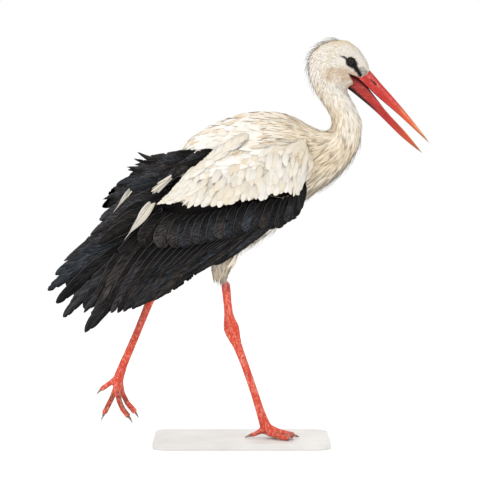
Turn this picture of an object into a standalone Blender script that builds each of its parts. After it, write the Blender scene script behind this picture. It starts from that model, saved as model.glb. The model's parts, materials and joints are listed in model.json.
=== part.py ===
"""White stork, a still life-size museum model that walks on a flat base.

Metres, +Z up. The bird faces +X; its right side is -Y. The right foot is
planted on the base and the left foot trails behind, lifted.
"""
import math

import bmesh
import bpy
import numpy as np
from mathutils import Vector

MM = 0.001

# ---- fits -------------------------------------------------------------------
GAP = 0.3 * MM                # clearance between neighbouring solids
CUT_GROW = 0.6 * MM           # clearance round a body that is bent along its length
BOOL_TOL = 1.0e-7             # overlap threshold of the boolean solver
MIN_STEP_SHARE = 0.05         # shortest spline step as a share of the longest

# ---- base -------------------------------------------------------------------
BASE_LENGTH = 360 * MM
BASE_WIDTH = 240 * MM
BASE_THICK = 12 * MM
BASE_CENTRE_X = 8 * MM
BASE_CORNER = 30 * MM
BASE_CORNER_STEPS = 6
BASE_CHAMFER = 2 * MM

# ---- loft resolution --------------------------------------------------------
BODY_SIDES = 20
BILL_SIDES = 10
LIMB_SIDES = 10
TOE_SIDES = 7
TANGENT_STEP = 0.05           # share of a section used to find a limb's direction
LIMB_STEEPNESS = 0.35         # sine below which a limb counts as lying across the body
CLAW_STEEPNESS = 0.3          # sine below which a claw counts as upright
TAIL_SIDES = 12
THIGH_SIDES = 12
CLAW_SIDES = 6
RINGS_HEAD = 10
RINGS_NECK = 6
RINGS_TRUNK = 15
RINGS_TAIL = 5
RINGS_BILL = 8

# ---- body -------------------------------------------------------------------
# Cross sections of the bird from the bill's base to the rump. Each row is one
# plane across the body: dorsal x, z, ventral x, z and half width y, in mm.
BODY_SECTIONS = (
    (273, 758, 246, 741, 12),     # face at the bill's base
    (266, 784, 241, 733, 19),     # forehead
    (248, 812, 235, 727, 24),     # brow
    (221, 829, 229, 726, 26),     # crown above the eye
    (191, 829, 227, 724, 26),     # rear crown
    (164, 818, 227, 722, 26),     # rear of the skull
    (146, 800, 228, 720, 25),     # nape
    (139, 776, 230, 716, 25),     # nape
    (144, 750, 234, 710, 25),     # top of the neck
    (153, 723, 239, 702, 25),
    (167, 702, 245, 690, 26),     # upper neck
    (182, 679, 253, 675, 27),
    (190, 659, 259, 655, 29),     # foremost bend of the neck
    (184, 644, 259, 634, 31),
    (172, 645, 254, 612, 34),     # base of the neck
    (157, 652, 244, 588, 39),
    (140, 661, 228, 563, 45),
    (122, 672, 205, 540, 52),     # shoulders and breast
    (99, 681, 170, 515, 59),
    (71, 685, 132, 489, 68),      # withers
    (30, 685, 87, 445, 75),       # deepest part
    (-19, 673, 26, 402, 77),
    (-71, 650, -46, 374, 73),     # flanks
    (-106, 623, -108, 378, 63),
    (-131, 580, -159, 396, 49),   # rump
    (-153, 540, -196, 411, 35),
    (-166, 515, -208, 416, 26),   # root of the tail
)
HEAD_END = 8.6                # section numbers at which the body is parted
NECK_MIDDLE = 12.4
NECK_END = 17.2
BODY_POWER = 2.15             # superellipse power of the body's sections

# ---- tail -------------------------------------------------------------------
TAIL_SECTIONS = (
    (-150, 505, -205, 425, 20),
    (-176, 478, -214, 420, 22),
    (-212, 444, -232, 410, 24),
    (-262, 402, -272, 388, 27),
    (-312, 362, -317, 354, 30),
)
TAIL_POWER = 2.4

# ---- bill -------------------------------------------------------------------
UPPER_BILL_SECTIONS = (
    (253, 775, 224, 756, 11),
    (273, 758, 245, 747, 11),
    (294, 736, 268, 727, 9),
    (318, 709, 292, 705, 8),
    (350, 671, 333, 670, 5.5),
    (394, 616, 389, 618, 1.8),
)
LOWER_BILL_SECTIONS = (
    (221, 751, 214, 734, 9),
    (242, 744, 231, 723, 9.5),
    (262, 728, 243, 713, 9),
    (287, 701, 272, 689, 8),
    (306, 677, 295, 668, 7),
    (343, 637, 335, 629, 4.8),
    (377, 597, 373, 596, 1.6),
)
UPPER_BILL_WIDEST = 0.78      # share of the depth, from the back of the bill
LOWER_BILL_WIDEST = 0.30
MOUTH_SECTIONS = (            # open space between the two halves of the bill
    (231, 756, 229, 750, 40),
    (250, 742, 240, 741, 40),
    (290, 702, 272, 706, 40),
)
BILL_TIP_POWER = 2.0
MOUTH_POWER = 3.0

# ---- eyes -------------------------------------------------------------------
EYE_X = 230 * MM
EYE_Z = 781 * MM
EYE_Y = 17.5 * MM
EYE_RADIUS = 8.5 * MM
EYE_SEGMENTS = 12
EYE_RINGS = 7

# ---- folded wings -----------------------------------------------------------
# Side view of the right wing in mm; the left one is its mirror image.
# Bends of the outline of the flight feathers, from the front edge below,
# round the rear, to the top edge.
QUILL_TIPS = (
    (134, 512), (128, 482), (112, 460), (95, 448), (50, 417), (11, 398),
    (-38, 377), (-77, 349), (-112, 331), (-145, 312), (-169, 297),
    (-208, 285), (-248, 271), (-313, 225), (-297, 275), (-329, 277),
    (-356, 260), (-356, 285), (-368, 288), (-366, 303), (-391, 313),
    (-358, 356), (-362, 366), (-340, 399), (-327, 409), (-301, 437),
    (-282, 453), (-293, 468), (-284, 482), (-262, 495), (-279, 499),
    (-262, 517), (-240, 529), (-249, 535), (-214, 553), (-225, 561),
    (-196, 582), (-206, 593), (-178, 595), (-124, 607), (-97, 625),
)
QUILL_ROOTS = (
    (128, 545), (87, 560), (26, 570), (-40, 576), (-70, 590), (-82, 612),
)
COVERT_TOP = (
    (137, 628), (120, 624), (70, 616), (20, 608), (-32, 596), (-77, 573),
    (-114, 547), (-140, 517), (-160, 492),
)
COVERT_EDGE = (
    (142, 630), (150, 600), (149, 570), (141, 530), (128, 508), (97, 510),
    (50, 500), (1, 497), (-46, 489), (-97, 482), (-140, 484), (-164, 486),
)
COVERT_SCALLOPS = 9           # rounded feather ends along the lower edge
COVERT_SCALLOP_DEPTH = 5 * MM
COVERT_RISE = 3 * MM          # how far the coverts stand proud of the quills
COVERT_ARC_START = 0.15       # part of a half wave that their swell follows
COVERT_ARC_SPAN = 0.7
COVERT_THINNING = 0.75        # how much of their thickness is gone at the edge
COVERT_SCALLOP_POWER = 4      # how close to the edge the scallops stay
QUILL_COLUMNS = 50
QUILL_ROWS = 4
COVERT_COLUMNS = 28
COVERT_ROWS = 3
# Outer surface of the wing, front to rear: x, middle height, half height and
# half width of the bird over the wings, in mm.
WING_SHAPE = (
    (-395, 318, 60, 24),
    (-313, 338, 82, 33),
    (-241, 402, 122, 46),
    (-159, 446, 138, 63),
    (-77, 499, 150, 78),
    (5, 536, 142, 87),
    (67, 554, 127, 89),
    (118, 575, 100, 80),
    (140, 584, 88, 71),
    (160, 590, 78, 58),
)
WING_TOP_POWER = 1.8
WING_HANG = 0.15              # how much the lower edge curves under the body
WING_HANG_LIMIT = 1.3         # share of the half height at which that curve stops
WING_THICK_ROOT = 40 * MM
WING_THICK_TIP = 5 * MM
WING_THIN_POWER = 3.0         # how fast the wing thins towards its tips
WING_MIN_HALF = 4 * MM        # least half width over the closed wings
WING_MIDPLANE = 0.6 * MM      # distance of the wings from the middle plane
COVERT_THICK = 7 * MM
COVERT_CENTRE = np.array((10, 545)) * MM
COVERT_GROW = 1.006           # clearance round the coverts' edge
COVERT_LIFT = 12 * MM         # how far the space over the coverts is kept clear

# ---- legs -------------------------------------------------------------------
# x, y, z and half thickness along x and y, in mm.
RIGHT_THIGH = (
    (-14, -40, 430, 32, 24),
    (-29, -40, 380, 30, 20),
    (-34, -38, 361, 26, 16),
    (-36, -36, 344, 21, 13),
    (-36, -35, 336, 16, 11),
)
LEFT_THIGH = (
    (-30, 38, 424, 34, 20),
    (-72, 38, 394, 27, 16),
    (-108, 36, 369, 18, 12),
    (-124, 35, 357, 12, 10),
)
RIGHT_LEG = (
    (-26, -35, 345, 9.6, 8),
    (-21.5, -34, 302, 8.9, 7.6),
    (-18, -33, 267, 9.4, 8),
    (-16, -32, 254, 12.6, 9.5),
    (-13, -31, 240, 16.5, 11),
    (-8, -31, 223, 14, 9.5),
    (-1, -30, 205, 10, 7.2),
    (17, -29, 157, 8.4, 6.2),
    (34, -28, 107, 8.4, 6.2),
    (49, -28, 60, 9.4, 6.8),
    (57, -28, 37, 11.2, 8.8),
)
LEFT_LEG = (
    (-118, 34, 361, 8.6, 8),
    (-140, 32, 346, 8.6, 8),
    (-156, 31, 334, 12, 9.5),
    (-164, 31, 322, 13.5, 10.5),
    (-172, 32, 308, 11.5, 9.5),
    (-180, 34, 292, 9, 7),
    (-199, 38, 245, 8.2, 6),
    (-220, 38, 195, 8.4, 6),
    (-240, 38, 148, 9.6, 6.8),
    (-246, 38, 130, 11, 8.6),
)
RIGHT_ANKLE = 4.0             # section numbers at which a leg is parted
LEFT_ANKLE = 3.0
RINGS_SHANK = 7
RINGS_TARSUS = 9
RINGS_THIGH = 6
FOOT_LENGTH_IN_LEG = 0.55     # how much of the leg's last length is foot
FOOT_OVERRUN = 3 * MM         # how far the foot's stem runs past the leg's end
RINGS_ANKLE = 3

# Each toe: points x, y, z and radius in mm, root first.
RIGHT_TOES = {
    "middle": ((56, -28, 36, 10.5), (72, -28, 29, 9.6), (93, -29, 22.5, 8.4),
               (116, -30, 18.5, 6.4)),
    "inner": ((56, -28, 30, 9), (71, -15, 22, 7.6), (87, 0, 18.5, 6.6),
              (102, 13, 17.5, 5.4)),
    "outer": ((56, -28, 30, 9), (71, -41, 22, 7.6), (88, -56, 18.5, 6.6),
              (105, -71, 17.5, 5.4)),
    "hind": ((56, -28, 32, 7), (44, -27, 25, 6.4), (34, -25, 20, 5.4),
             (25, -24, 17.5, 4.6)),
}
LEFT_TOES = {
    "middle": ((-245, 38, 128, 8.6), (-248, 38, 96, 7.4), (-241, 38, 69, 6.8),
               (-225, 38, 48, 5.8)),
    "inner": ((-245, 38, 128, 8.6), (-253, 29, 104, 7.2), (-265, 21, 78, 6.6),
              (-276, 17, 57, 5.6)),
    "outer": ((-245, 38, 128, 8.6), (-242, 48, 108, 7), (-234, 56, 82, 6.4),
              (-213, 60, 55, 6.6)),
    "hind": ((-245, 38, 130, 7.6), (-257, 37, 124, 6.8), (-270, 36, 114, 6.2),
             (-283, 35, 105, 5.4)),
}
TOE_RINGS = 5
TOE_JOINTS = 3                # bulges along a toe
TOE_BULGE = 0.10
TOE_FLATNESS = 0.92           # height of a toe as a share of its width
CLAW_LENGTH = 13 * MM
CLAW_RADIUS = 3.6 * MM
CLAW_TIP = 0.7 * MM
CLAW_RINGS = 3
CLAW_DROOP = 0.35
CLAW_PLANTED_DROOP = 0.4      # share of that droop on a planted foot
CLAW_TAPER = 1.3
CLAW_SET = 2.2 * MM           # how far a claw is set into its toe
PLANTED_FLOOR = BASE_THICK + GAP

# ---- colours ----------------------------------------------------------------
CREAM = (0.83, 0.80, 0.74)
CHARCOAL = (0.025, 0.024, 0.028)
CORAL = (0.62, 0.085, 0.03)
HORN = (0.10, 0.06, 0.05)
DARK_EYE = (0.01, 0.008, 0.007)
PALE_BOARD = (0.72, 0.70, 0.66)
FINISHES = {                  # colour and roughness of each material
    "feathers_white": (CREAM, 0.85),
    "feathers_black": (CHARCOAL, 0.55),
    "bill_red": (CORAL, 0.4),
    "leg_red": (CORAL, 0.55),
    "claw_horn": (HORN, 0.4),
    "eye_dark": (DARK_EYE, 0.05),
    "base_board": (PALE_BOARD, 0.6),
}


def clear_scene():
    """Remove every object that is there."""
    for obj in list(bpy.data.objects):
        bpy.data.objects.remove(obj, do_unlink=True)


def material(name, colour, roughness):
    """Plain Principled material."""
    mat = bpy.data.materials.new(name)
    mat.use_nodes = True
    shader = mat.node_tree.nodes["Principled BSDF"]
    shader.inputs["Base Color"].default_value = (*colour, 1.0)
    shader.inputs["Roughness"].default_value = roughness
    mat.diffuse_color = (*colour, 1.0)
    return mat


def spline(rows, at):
    """Catmull-Rom value of a table of rows at fractional row numbers."""
    table = np.asarray(rows, dtype=float)
    last = len(table) - 1
    steps = np.linalg.norm(np.diff(table[:, :2], axis=0), axis=1)
    steps = np.maximum(steps, steps.max() * MIN_STEP_SHARE)
    slopes = np.diff(table, axis=0) / steps[:, None]
    tangents = np.empty_like(table)
    tangents[0] = slopes[0]
    tangents[-1] = slopes[-1]
    before = steps[:-1, None]
    after = steps[1:, None]
    tangents[1:-1] = (slopes[:-1] * after + slopes[1:] * before) / (before + after)
    values = []
    for number in np.atleast_1d(at):
        cell = int(min(max(math.floor(number), 0), last - 1))
        u = number - cell
        span = steps[cell]
        h00 = 2 * u ** 3 - 3 * u ** 2 + 1
        h10 = u ** 3 - 2 * u ** 2 + u
        h01 = -2 * u ** 3 + 3 * u ** 2
        h11 = u ** 3 - u ** 2
        start = h00 * table[cell] + h10 * span * tangents[cell]
        values.append(start + h01 * table[cell + 1] + h11 * span * tangents[cell + 1])
    return np.array(values)


def mesh_object(name, verts, faces, mat, smooth=True):
    """Closed mesh with outward normals."""
    mesh = bpy.data.meshes.new(name)
    mesh.from_pydata([tuple(v) for v in verts], [], faces)
    mesh.materials.append(mat)
    obj = bpy.data.objects.new(name, mesh)
    bpy.context.scene.collection.objects.link(obj)
    bm = bmesh.new()
    bm.from_mesh(mesh)
    bmesh.ops.recalc_face_normals(bm, faces=bm.faces)
    if bm.calc_volume(signed=True) < 0:
        bmesh.ops.reverse_faces(bm, faces=bm.faces)
    bm.to_mesh(mesh)
    bm.free()
    for polygon in mesh.polygons:
        polygon.use_smooth = smooth
    return obj


def loft(name, rings, mat):
    """Skin a row of equal rings with mirrored triangles and close both ends."""
    sides = len(rings[0])
    verts = [point for ring in rings for point in ring]
    faces = []
    for number in range(len(rings) - 1):
        low = number * sides
        for side in range(sides):
            nxt = (side + 1) % sides
            a, b = low + side, low + nxt
            c, d = b + sides, a + sides
            if side < sides // 2:
                faces += [(a, b, c), (a, c, d)]
            else:
                faces += [(a, b, d), (b, c, d)]
    faces.append(tuple(range(sides - 1, -1, -1)))
    top = (len(rings) - 1) * sides
    faces.append(tuple(range(top, top + sides)))
    return mesh_object(name, verts, faces, mat)


def bent_power(value, power):
    """Signed power for superellipse outlines."""
    return math.copysign(abs(value) ** power, value)


def section_ring(row, sides, power, widest=0.5, grow=0.0, slide=0.0):
    """One closed ring across the body from a section row in mm."""
    dorsal = Vector((row[0] * MM, 0, row[1] * MM))
    ventral = Vector((row[2] * MM, 0, row[3] * MM))
    depth = dorsal - ventral
    up = depth.normalized()
    normal = Vector((up.z, 0, -up.x))
    centre = dorsal - depth * widest + normal * slide
    above = depth.length * widest + grow
    below = depth.length * (1 - widest) + grow
    half = row[4] * MM + grow
    ring = []
    for side in range(sides):
        angle = 2 * math.pi * (side + 0.5) / sides
        along = bent_power(math.cos(angle), 2 / power)
        across = bent_power(math.sin(angle), 2 / power)
        reach = above if along > 0 else below
        ring.append(centre + up * (along * reach) + Vector((0, across * half, 0)))
    return ring


def section_loft(name, rows, at, mat, sides=BODY_SIDES, power=BODY_POWER, widest=0.5,
                 grow=0.0, trim=(0.0, 0.0)):
    """Loft through section rows at the given row numbers, trimmed at its ends."""
    rings = []
    values = spline(rows, at)
    for number, row in enumerate(values):
        slide = 0.0
        if number == 0:
            slide = -trim[0]
        if number == len(values) - 1:
            slide = trim[1]
        rings.append(section_ring(row, sides, power, widest, grow, slide))
    return loft(name, rings, mat)


def apply_boolean(target, cutter, operation, drop=True):
    """Exact boolean of the target with the cutter."""
    cutter.hide_render = True
    cutter.display_type = "WIRE"
    modifier = target.modifiers.new("cut", "BOOLEAN")
    modifier.operation = operation
    modifier.solver = "EXACT"
    modifier.double_threshold = BOOL_TOL
    modifier.object = cutter
    graph = bpy.context.evaluated_depsgraph_get()
    mesh = bpy.data.meshes.new_from_object(target.evaluated_get(graph))
    old = target.data
    target.modifiers.clear()
    target.data = mesh
    bpy.data.meshes.remove(old)
    if drop:
        bpy.data.objects.remove(cutter, do_unlink=True)


def subtract(target, cutter, drop=True):
    """Cut the cutter's volume out of the target."""
    apply_boolean(target, cutter, "DIFFERENCE", drop)


def keep_largest(obj):
    """Drop loose crumbs that a cut left, keeping the largest piece."""
    bm = bmesh.new()
    bm.from_mesh(obj.data)
    seen = set()
    pieces = []
    for seed in bm.verts:
        if seed in seen:
            continue
        stack = [seed]
        piece = set(stack)
        while stack:
            vert = stack.pop()
            for edge in vert.link_edges:
                other = edge.other_vert(vert)
                if other not in piece:
                    piece.add(other)
                    stack.append(other)
        seen |= piece
        pieces.append(piece)
    pieces.sort(key=len, reverse=True)
    crumbs = [vert for piece in pieces[1:] for vert in piece]
    bmesh.ops.delete(bm, geom=crumbs, context="VERTS")
    bm.to_mesh(obj.data)
    bm.free()


def mirrored(obj, name):
    """Mirror image of a piece across the middle plane."""
    mesh = obj.data.copy()
    mesh.name = name
    twin = bpy.data.objects.new(name, mesh)
    bpy.context.scene.collection.objects.link(twin)
    bm = bmesh.new()
    bm.from_mesh(mesh)
    for vert in bm.verts:
        vert.co.y = -vert.co.y
    bmesh.ops.reverse_faces(bm, faces=bm.faces)
    bm.to_mesh(mesh)
    bm.free()
    return twin


# ---- body -------------------------------------------------------------------
def body_piece(name, start, end, rings, mats, trim):
    """Part of the body between two section numbers."""
    at = np.linspace(start, end, rings)
    return section_loft(name, BODY_SECTIONS, at, mats["feathers_white"], trim=trim)


def cut_body(target, mats, neck=False):
    """Cut the trunk, and if wanted the lower neck, with clearance out of a piece."""
    spans = [(NECK_END, len(BODY_SECTIONS) - 1, RINGS_TRUNK)]
    if neck:
        spans.append((NECK_MIDDLE, NECK_END, RINGS_NECK + 1))
    for start, end, rings in spans:
        cutter = section_loft("cut_body", BODY_SECTIONS, np.linspace(start, end, rings),
                              mats["feathers_white"], grow=CUT_GROW, trim=(-GAP, -GAP))
        subtract(target, cutter)
    keep_largest(target)


def make_body(mats):
    """Head, neck and trunk, parted by thin gaps."""
    half = GAP / 2
    last = len(BODY_SECTIONS) - 1
    head = body_piece("head", 0, HEAD_END, RINGS_HEAD, mats, (0.0, half))
    upper = body_piece("neck_upper", HEAD_END, NECK_MIDDLE, RINGS_NECK, mats, (half, half))
    lower = body_piece("neck_lower", NECK_MIDDLE, NECK_END, RINGS_NECK + 1, mats, (half, half))
    trunk = body_piece("trunk", NECK_END, last, RINGS_TRUNK, mats, (half, 0.0))
    return head, upper, lower, trunk


def make_tail(mats):
    """Closed tail fan behind the rump."""
    at = np.linspace(0, len(TAIL_SECTIONS) - 1, RINGS_TAIL)
    tail = section_loft("tail", TAIL_SECTIONS, at, mats["feathers_white"], sides=TAIL_SIDES,
                        power=TAIL_POWER)
    cut_body(tail, mats)
    return tail


def tail_cutter(mats):
    """Tail enlarged by the clearance."""
    at = np.linspace(0, len(TAIL_SECTIONS) - 1, RINGS_TAIL)
    return section_loft("cut_tail", TAIL_SECTIONS, at, mats["feathers_white"],
                        sides=TAIL_SIDES, power=TAIL_POWER, grow=GAP)


# ---- head -------------------------------------------------------------------
def bill_half(name, rows, widest, mats, grow=0.0):
    """Upper or lower half of the bill."""
    at = np.linspace(0, len(rows) - 1, RINGS_BILL)
    return section_loft(name, rows, at, mats["bill_red"], sides=BILL_SIDES,
                        power=BILL_TIP_POWER, widest=widest, grow=grow)


def make_bill(head, mats):
    """Both halves of the bill, set into the head."""
    upper = bill_half("bill_upper", UPPER_BILL_SECTIONS, UPPER_BILL_WIDEST, mats)
    lower = bill_half("bill_lower", LOWER_BILL_SECTIONS, LOWER_BILL_WIDEST, mats)
    mouth = section_loft("cut_mouth", MOUTH_SECTIONS, np.arange(len(MOUTH_SECTIONS)),
                         mats["bill_red"], sides=BILL_SIDES, power=MOUTH_POWER)
    subtract(head, mouth)
    for rows, widest in ((UPPER_BILL_SECTIONS, UPPER_BILL_WIDEST),
                         (LOWER_BILL_SECTIONS, LOWER_BILL_WIDEST)):
        subtract(head, bill_half("cut_bill", rows, widest, mats, grow=GAP))
    return upper, lower


def ball(name, centre, radius, mat):
    """Round eyeball."""
    bm = bmesh.new()
    bmesh.ops.create_uvsphere(bm, u_segments=EYE_SEGMENTS, v_segments=EYE_RINGS,
                              radius=radius)
    for vert in bm.verts:
        vert.co = Vector((vert.co.x, vert.co.z, -vert.co.y)) + centre
    mesh = bpy.data.meshes.new(name)
    bm.to_mesh(mesh)
    bm.free()
    for polygon in mesh.polygons:
        polygon.use_smooth = True
    mesh.materials.append(mat)
    obj = bpy.data.objects.new(name, mesh)
    bpy.context.scene.collection.objects.link(obj)
    return obj


def make_eyes(head, mats):
    """Eyeballs in sockets cut with the clearance."""
    for name, side in (("eye_right", -1), ("eye_left", 1)):
        centre = Vector((EYE_X, side * EYE_Y, EYE_Z))
        ball(name, centre, EYE_RADIUS, mats["eye_dark"])
        subtract(head, ball("cut_eye", centre, EYE_RADIUS + GAP, mats["eye_dark"]))


# ---- wings ------------------------------------------------------------------
def wing_shape(x):
    """Middle height, half height and half width of the wings at one x."""
    table = np.asarray(WING_SHAPE, dtype=float) * MM
    return [float(np.interp(x, table[:, 0], table[:, column])) for column in (1, 2, 3)]


def wing_outer(x, z):
    """Distance of the closed wing's outer surface from the middle plane."""
    middle, half_height, half_width = wing_shape(x)
    rise = (z - middle) / half_height
    if rise > 0:
        share = max(1.0 - min(rise, 1.0) ** WING_TOP_POWER, 0.0) ** (1 / WING_TOP_POWER)
    else:
        share = 1.0 - WING_HANG * min(-rise, WING_HANG_LIMIT) ** 2
    return max(half_width * share, WING_MIN_HALF)


def resample(points, count):
    """Points spread evenly over an open line, keeping its ends."""
    line = np.asarray(points, dtype=float) * MM
    steps = np.linalg.norm(np.diff(line, axis=0), axis=1)
    path = np.concatenate([[0.0], np.cumsum(steps)])
    at = np.linspace(0.0, path[-1], count)
    return np.stack([np.interp(at, path, line[:, axis]) for axis in (0, 1)], axis=1)


def corner_resample(points, count):
    """Points over an open line that keep its every corner."""
    line = np.asarray(points, dtype=float) * MM
    steps = np.linalg.norm(np.diff(line, axis=0), axis=1)
    share = steps / steps.sum() * (count - 1)
    pieces = np.maximum(np.round(share).astype(int), 1)
    while pieces.sum() > count - 1:
        pieces[int(np.argmax(pieces))] -= 1
    while pieces.sum() < count - 1:
        pieces[int(np.argmax(share - pieces))] += 1
    out = [line[0]]
    for number, piece in enumerate(pieces):
        for step in range(1, piece + 1):
            out.append(line[number] + (line[number + 1] - line[number]) * step / piece)
    return np.array(out)


def slab(name, rows, outer, inner, mat):
    """Closed slab over a grid of side-view points between two surfaces."""
    count = len(rows)
    width = len(rows[0])
    verts = []
    for surface in (outer, inner):
        for number, row in enumerate(rows):
            for x, z in row:
                verts.append((x, -surface(x, z, number / (count - 1)), z))
    layer = count * width
    faces = []
    for r in range(count - 1):
        for c in range(width - 1):
            a = r * width + c
            d = a + width
            faces += [(a, a + 1, d + 1), (a, d + 1, d)]
            a += layer
            d += layer
            faces += [(d + 1, a + 1, a), (d, d + 1, a)]
    rim = [c for c in range(width)]
    rim += [r * width + width - 1 for r in range(1, count)]
    rim += [(count - 1) * width + c for c in range(width - 2, -1, -1)]
    rim += [r * width for r in range(count - 2, 0, -1)]
    for number, a in enumerate(rim):
        b = rim[(number + 1) % len(rim)]
        faces.append((b, a, a + layer, b + layer))
    return mesh_object(name, verts, faces, mat)


def quill_inner(x, z, reach):
    """Inner surface of the flight feathers, thick at the root, thin at the tips."""
    outer = wing_outer(x, z)
    thick = WING_THICK_TIP + (WING_THICK_ROOT - WING_THICK_TIP) * (1 - reach) ** WING_THIN_POWER
    return max(outer - thick, WING_MIDPLANE)


def quill_outer(x, z, reach):
    """Outer surface of the flight feathers."""
    return max(wing_outer(x, z), WING_MIN_HALF)


def covert_outer(x, z, reach):
    """Outer surface of the coverts, proud of the flight feathers."""
    arc = COVERT_ARC_START + COVERT_ARC_SPAN * reach
    return wing_outer(x, z) + COVERT_RISE * math.sin(math.pi * arc)


def covert_inner(x, z, reach):
    """Inner surface of the coverts."""
    thick = COVERT_THICK * (1.0 - COVERT_THINNING * reach ** 2)
    return max(wing_outer(x, z) - thick, WING_MIDPLANE)


def quill_grid():
    """Side-view grid of the flight feathers from their roots to their tips."""
    tips = corner_resample(QUILL_TIPS, QUILL_COLUMNS)
    roots = resample(QUILL_ROOTS, QUILL_COLUMNS)
    shares = np.linspace(0.0, 1.0, QUILL_ROWS + 1)
    return [[tuple(roots[c] + (tips[c] - roots[c]) * s) for c in range(QUILL_COLUMNS)]
            for s in shares]


def covert_grid(grow=1.0):
    """Side-view grid of the white coverts with scalloped ends."""
    edge = corner_resample(COVERT_EDGE, COVERT_COLUMNS)
    top = resample(COVERT_TOP, COVERT_COLUMNS)
    rows = []
    for share in np.linspace(0.0, 1.0, COVERT_ROWS + 1):
        row = []
        for c in range(COVERT_COLUMNS):
            spot = top[c] + (edge[c] - top[c]) * share
            wave = abs(math.sin(math.pi * COVERT_SCALLOPS * c / (COVERT_COLUMNS - 1)))
            drop = COVERT_SCALLOP_DEPTH * wave * share ** COVERT_SCALLOP_POWER
            spot = spot - np.array((0.0, drop))
            row.append(tuple(COVERT_CENTRE + (spot - COVERT_CENTRE) * grow))
        rows.append(row)
    return rows


def make_wings(mats):
    """Both folded wings: white coverts over black flight feathers."""
    coverts = slab("wing_right_coverts", covert_grid(), covert_outer, covert_inner,
                   mats["feathers_white"])
    quills = slab("wing_right_quills", quill_grid(), quill_outer, quill_inner,
                  mats["feathers_black"])
    cut_body(coverts, mats, neck=True)
    cut_body(quills, mats)
    subtract(quills, tail_cutter(mats))
    swollen = slab("cut_coverts", covert_grid(COVERT_GROW),
                   lambda x, z, reach: covert_outer(x, z, reach) + COVERT_LIFT,
                   lambda x, z, reach: covert_inner(x, z, reach) - CUT_GROW,
                   mats["feathers_white"])
    subtract(quills, swollen)
    keep_largest(quills)
    mirrored(coverts, "wing_left_coverts")
    mirrored(quills, "wing_left_quills")
    return coverts, quills


# ---- legs -------------------------------------------------------------------
def limb_rings(rows, at, sides, grow=0.0, trim=(0.0, 0.0), floor=None, flat=1.0):
    """Rings square to a limb's path, from rows x, y, z and half thicknesses."""
    values = spline_3d(rows, at)
    behind = spline_3d(rows, np.maximum(at - TANGENT_STEP, 0.0))
    ahead = spline_3d(rows, np.minimum(at + TANGENT_STEP, len(rows) - 1.0))
    rings = []
    for number, row in enumerate(values):
        here = Vector(row[:3]) * MM
        along = (Vector(ahead[number][:3]) - Vector(behind[number][:3])).normalized()
        side_axis = along.cross(Vector((0, 1, 0)))
        if side_axis.length < LIMB_STEEPNESS:
            side_axis = along.cross(Vector((0, 0, 1)))
        deep = side_axis.normalized()
        wide = deep.cross(along).normalized()
        if number == 0:
            here = here + along * trim[0]
        if number == len(values) - 1:
            here = here - along * trim[1]
        ring = []
        for side in range(sides):
            angle = 2 * math.pi * (side + 0.5) / sides
            reach_deep = (row[3] * MM + grow) * math.cos(angle) * flat
            reach_wide = (row[4] * MM + grow) * math.sin(angle)
            point = here + deep * reach_deep + wide * reach_wide
            if floor is not None:
                point.z = max(point.z, floor)
            ring.append(point)
        rings.append(ring)
    return rings


def spline_3d(rows, at):
    """Catmull-Rom values of a limb's rows, spaced by their 3-D path."""
    table = np.asarray(rows, dtype=float)
    steps = np.linalg.norm(np.diff(table[:, :3], axis=0), axis=1)
    path = np.concatenate([[0.0], np.cumsum(steps)])
    both = np.column_stack([path, np.zeros(len(path)), table])
    return spline(both, at)[:, 2:]


def limb(name, rows, at, mat, sides=LIMB_SIDES, **extra):
    """Tapered limb."""
    return loft(name, limb_rings(rows, at, sides, **extra), mat)


def make_leg(side_name, thigh_rows, leg_rows, ankle, mats):
    """Feathered thigh, bare shank and bare tarsus of one leg."""
    half = GAP / 2
    last = len(leg_rows) - 1
    thigh = limb("thigh_" + side_name, thigh_rows,
                 np.linspace(0, len(thigh_rows) - 1, RINGS_THIGH),
                 mats["feathers_white"], sides=THIGH_SIDES)
    cut_body(thigh, mats)
    shank = limb("shank_" + side_name, leg_rows, np.linspace(0, ankle, RINGS_SHANK),
                 mats["leg_red"], trim=(0.0, half))
    tarsus = limb("tarsus_" + side_name, leg_rows,
                  np.linspace(ankle, last - FOOT_LENGTH_IN_LEG, RINGS_TARSUS),
                  mats["leg_red"], trim=(half, half))
    cutter = limb("cut_shank", leg_rows, np.linspace(0, ankle, RINGS_SHANK),
                  mats["leg_red"], grow=GAP)
    subtract(thigh, cutter)
    keep_largest(thigh)
    return thigh, shank, tarsus


def toe_rows(points):
    """Toe rows with joint bulges and a flattened section."""
    at = np.linspace(0, len(points) - 1, TOE_RINGS)
    rows = [(x, y, z, r, r) for x, y, z, r in points]
    values = spline_3d(rows, at)
    for number, row in enumerate(values):
        share = number / (TOE_RINGS - 1)
        swell = 1 + TOE_BULGE * math.cos(2 * math.pi * TOE_JOINTS * share)
        row[3] *= swell
        row[4] *= swell
    return values


def make_foot(side_name, toes, leg_rows, mats, floor):
    """One foot as a single fleshy piece, and its four claws."""
    half = GAP / 2
    last = len(leg_rows) - 1
    foot = limb("foot_" + side_name, leg_rows,
                np.linspace(last - FOOT_LENGTH_IN_LEG, last, RINGS_ANKLE), mats["leg_red"],
                trim=(half, -FOOT_OVERRUN), floor=floor)
    for toe_name, points in toes.items():
        rows = toe_rows(points)
        toe = limb("join_toe", rows, np.arange(len(rows), dtype=float), mats["leg_red"],
                   sides=TOE_SIDES, floor=floor, flat=TOE_FLATNESS)
        apply_boolean(foot, toe, "UNION")
        make_claw("claw_%s_%s" % (side_name, toe_name), rows, mats, floor, 0.0)
    for toe_name, points in toes.items():
        rows = toe_rows(points)
        subtract(foot, make_claw("cut_claw", rows, mats, floor, GAP))
    keep_largest(foot)
    return foot


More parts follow.
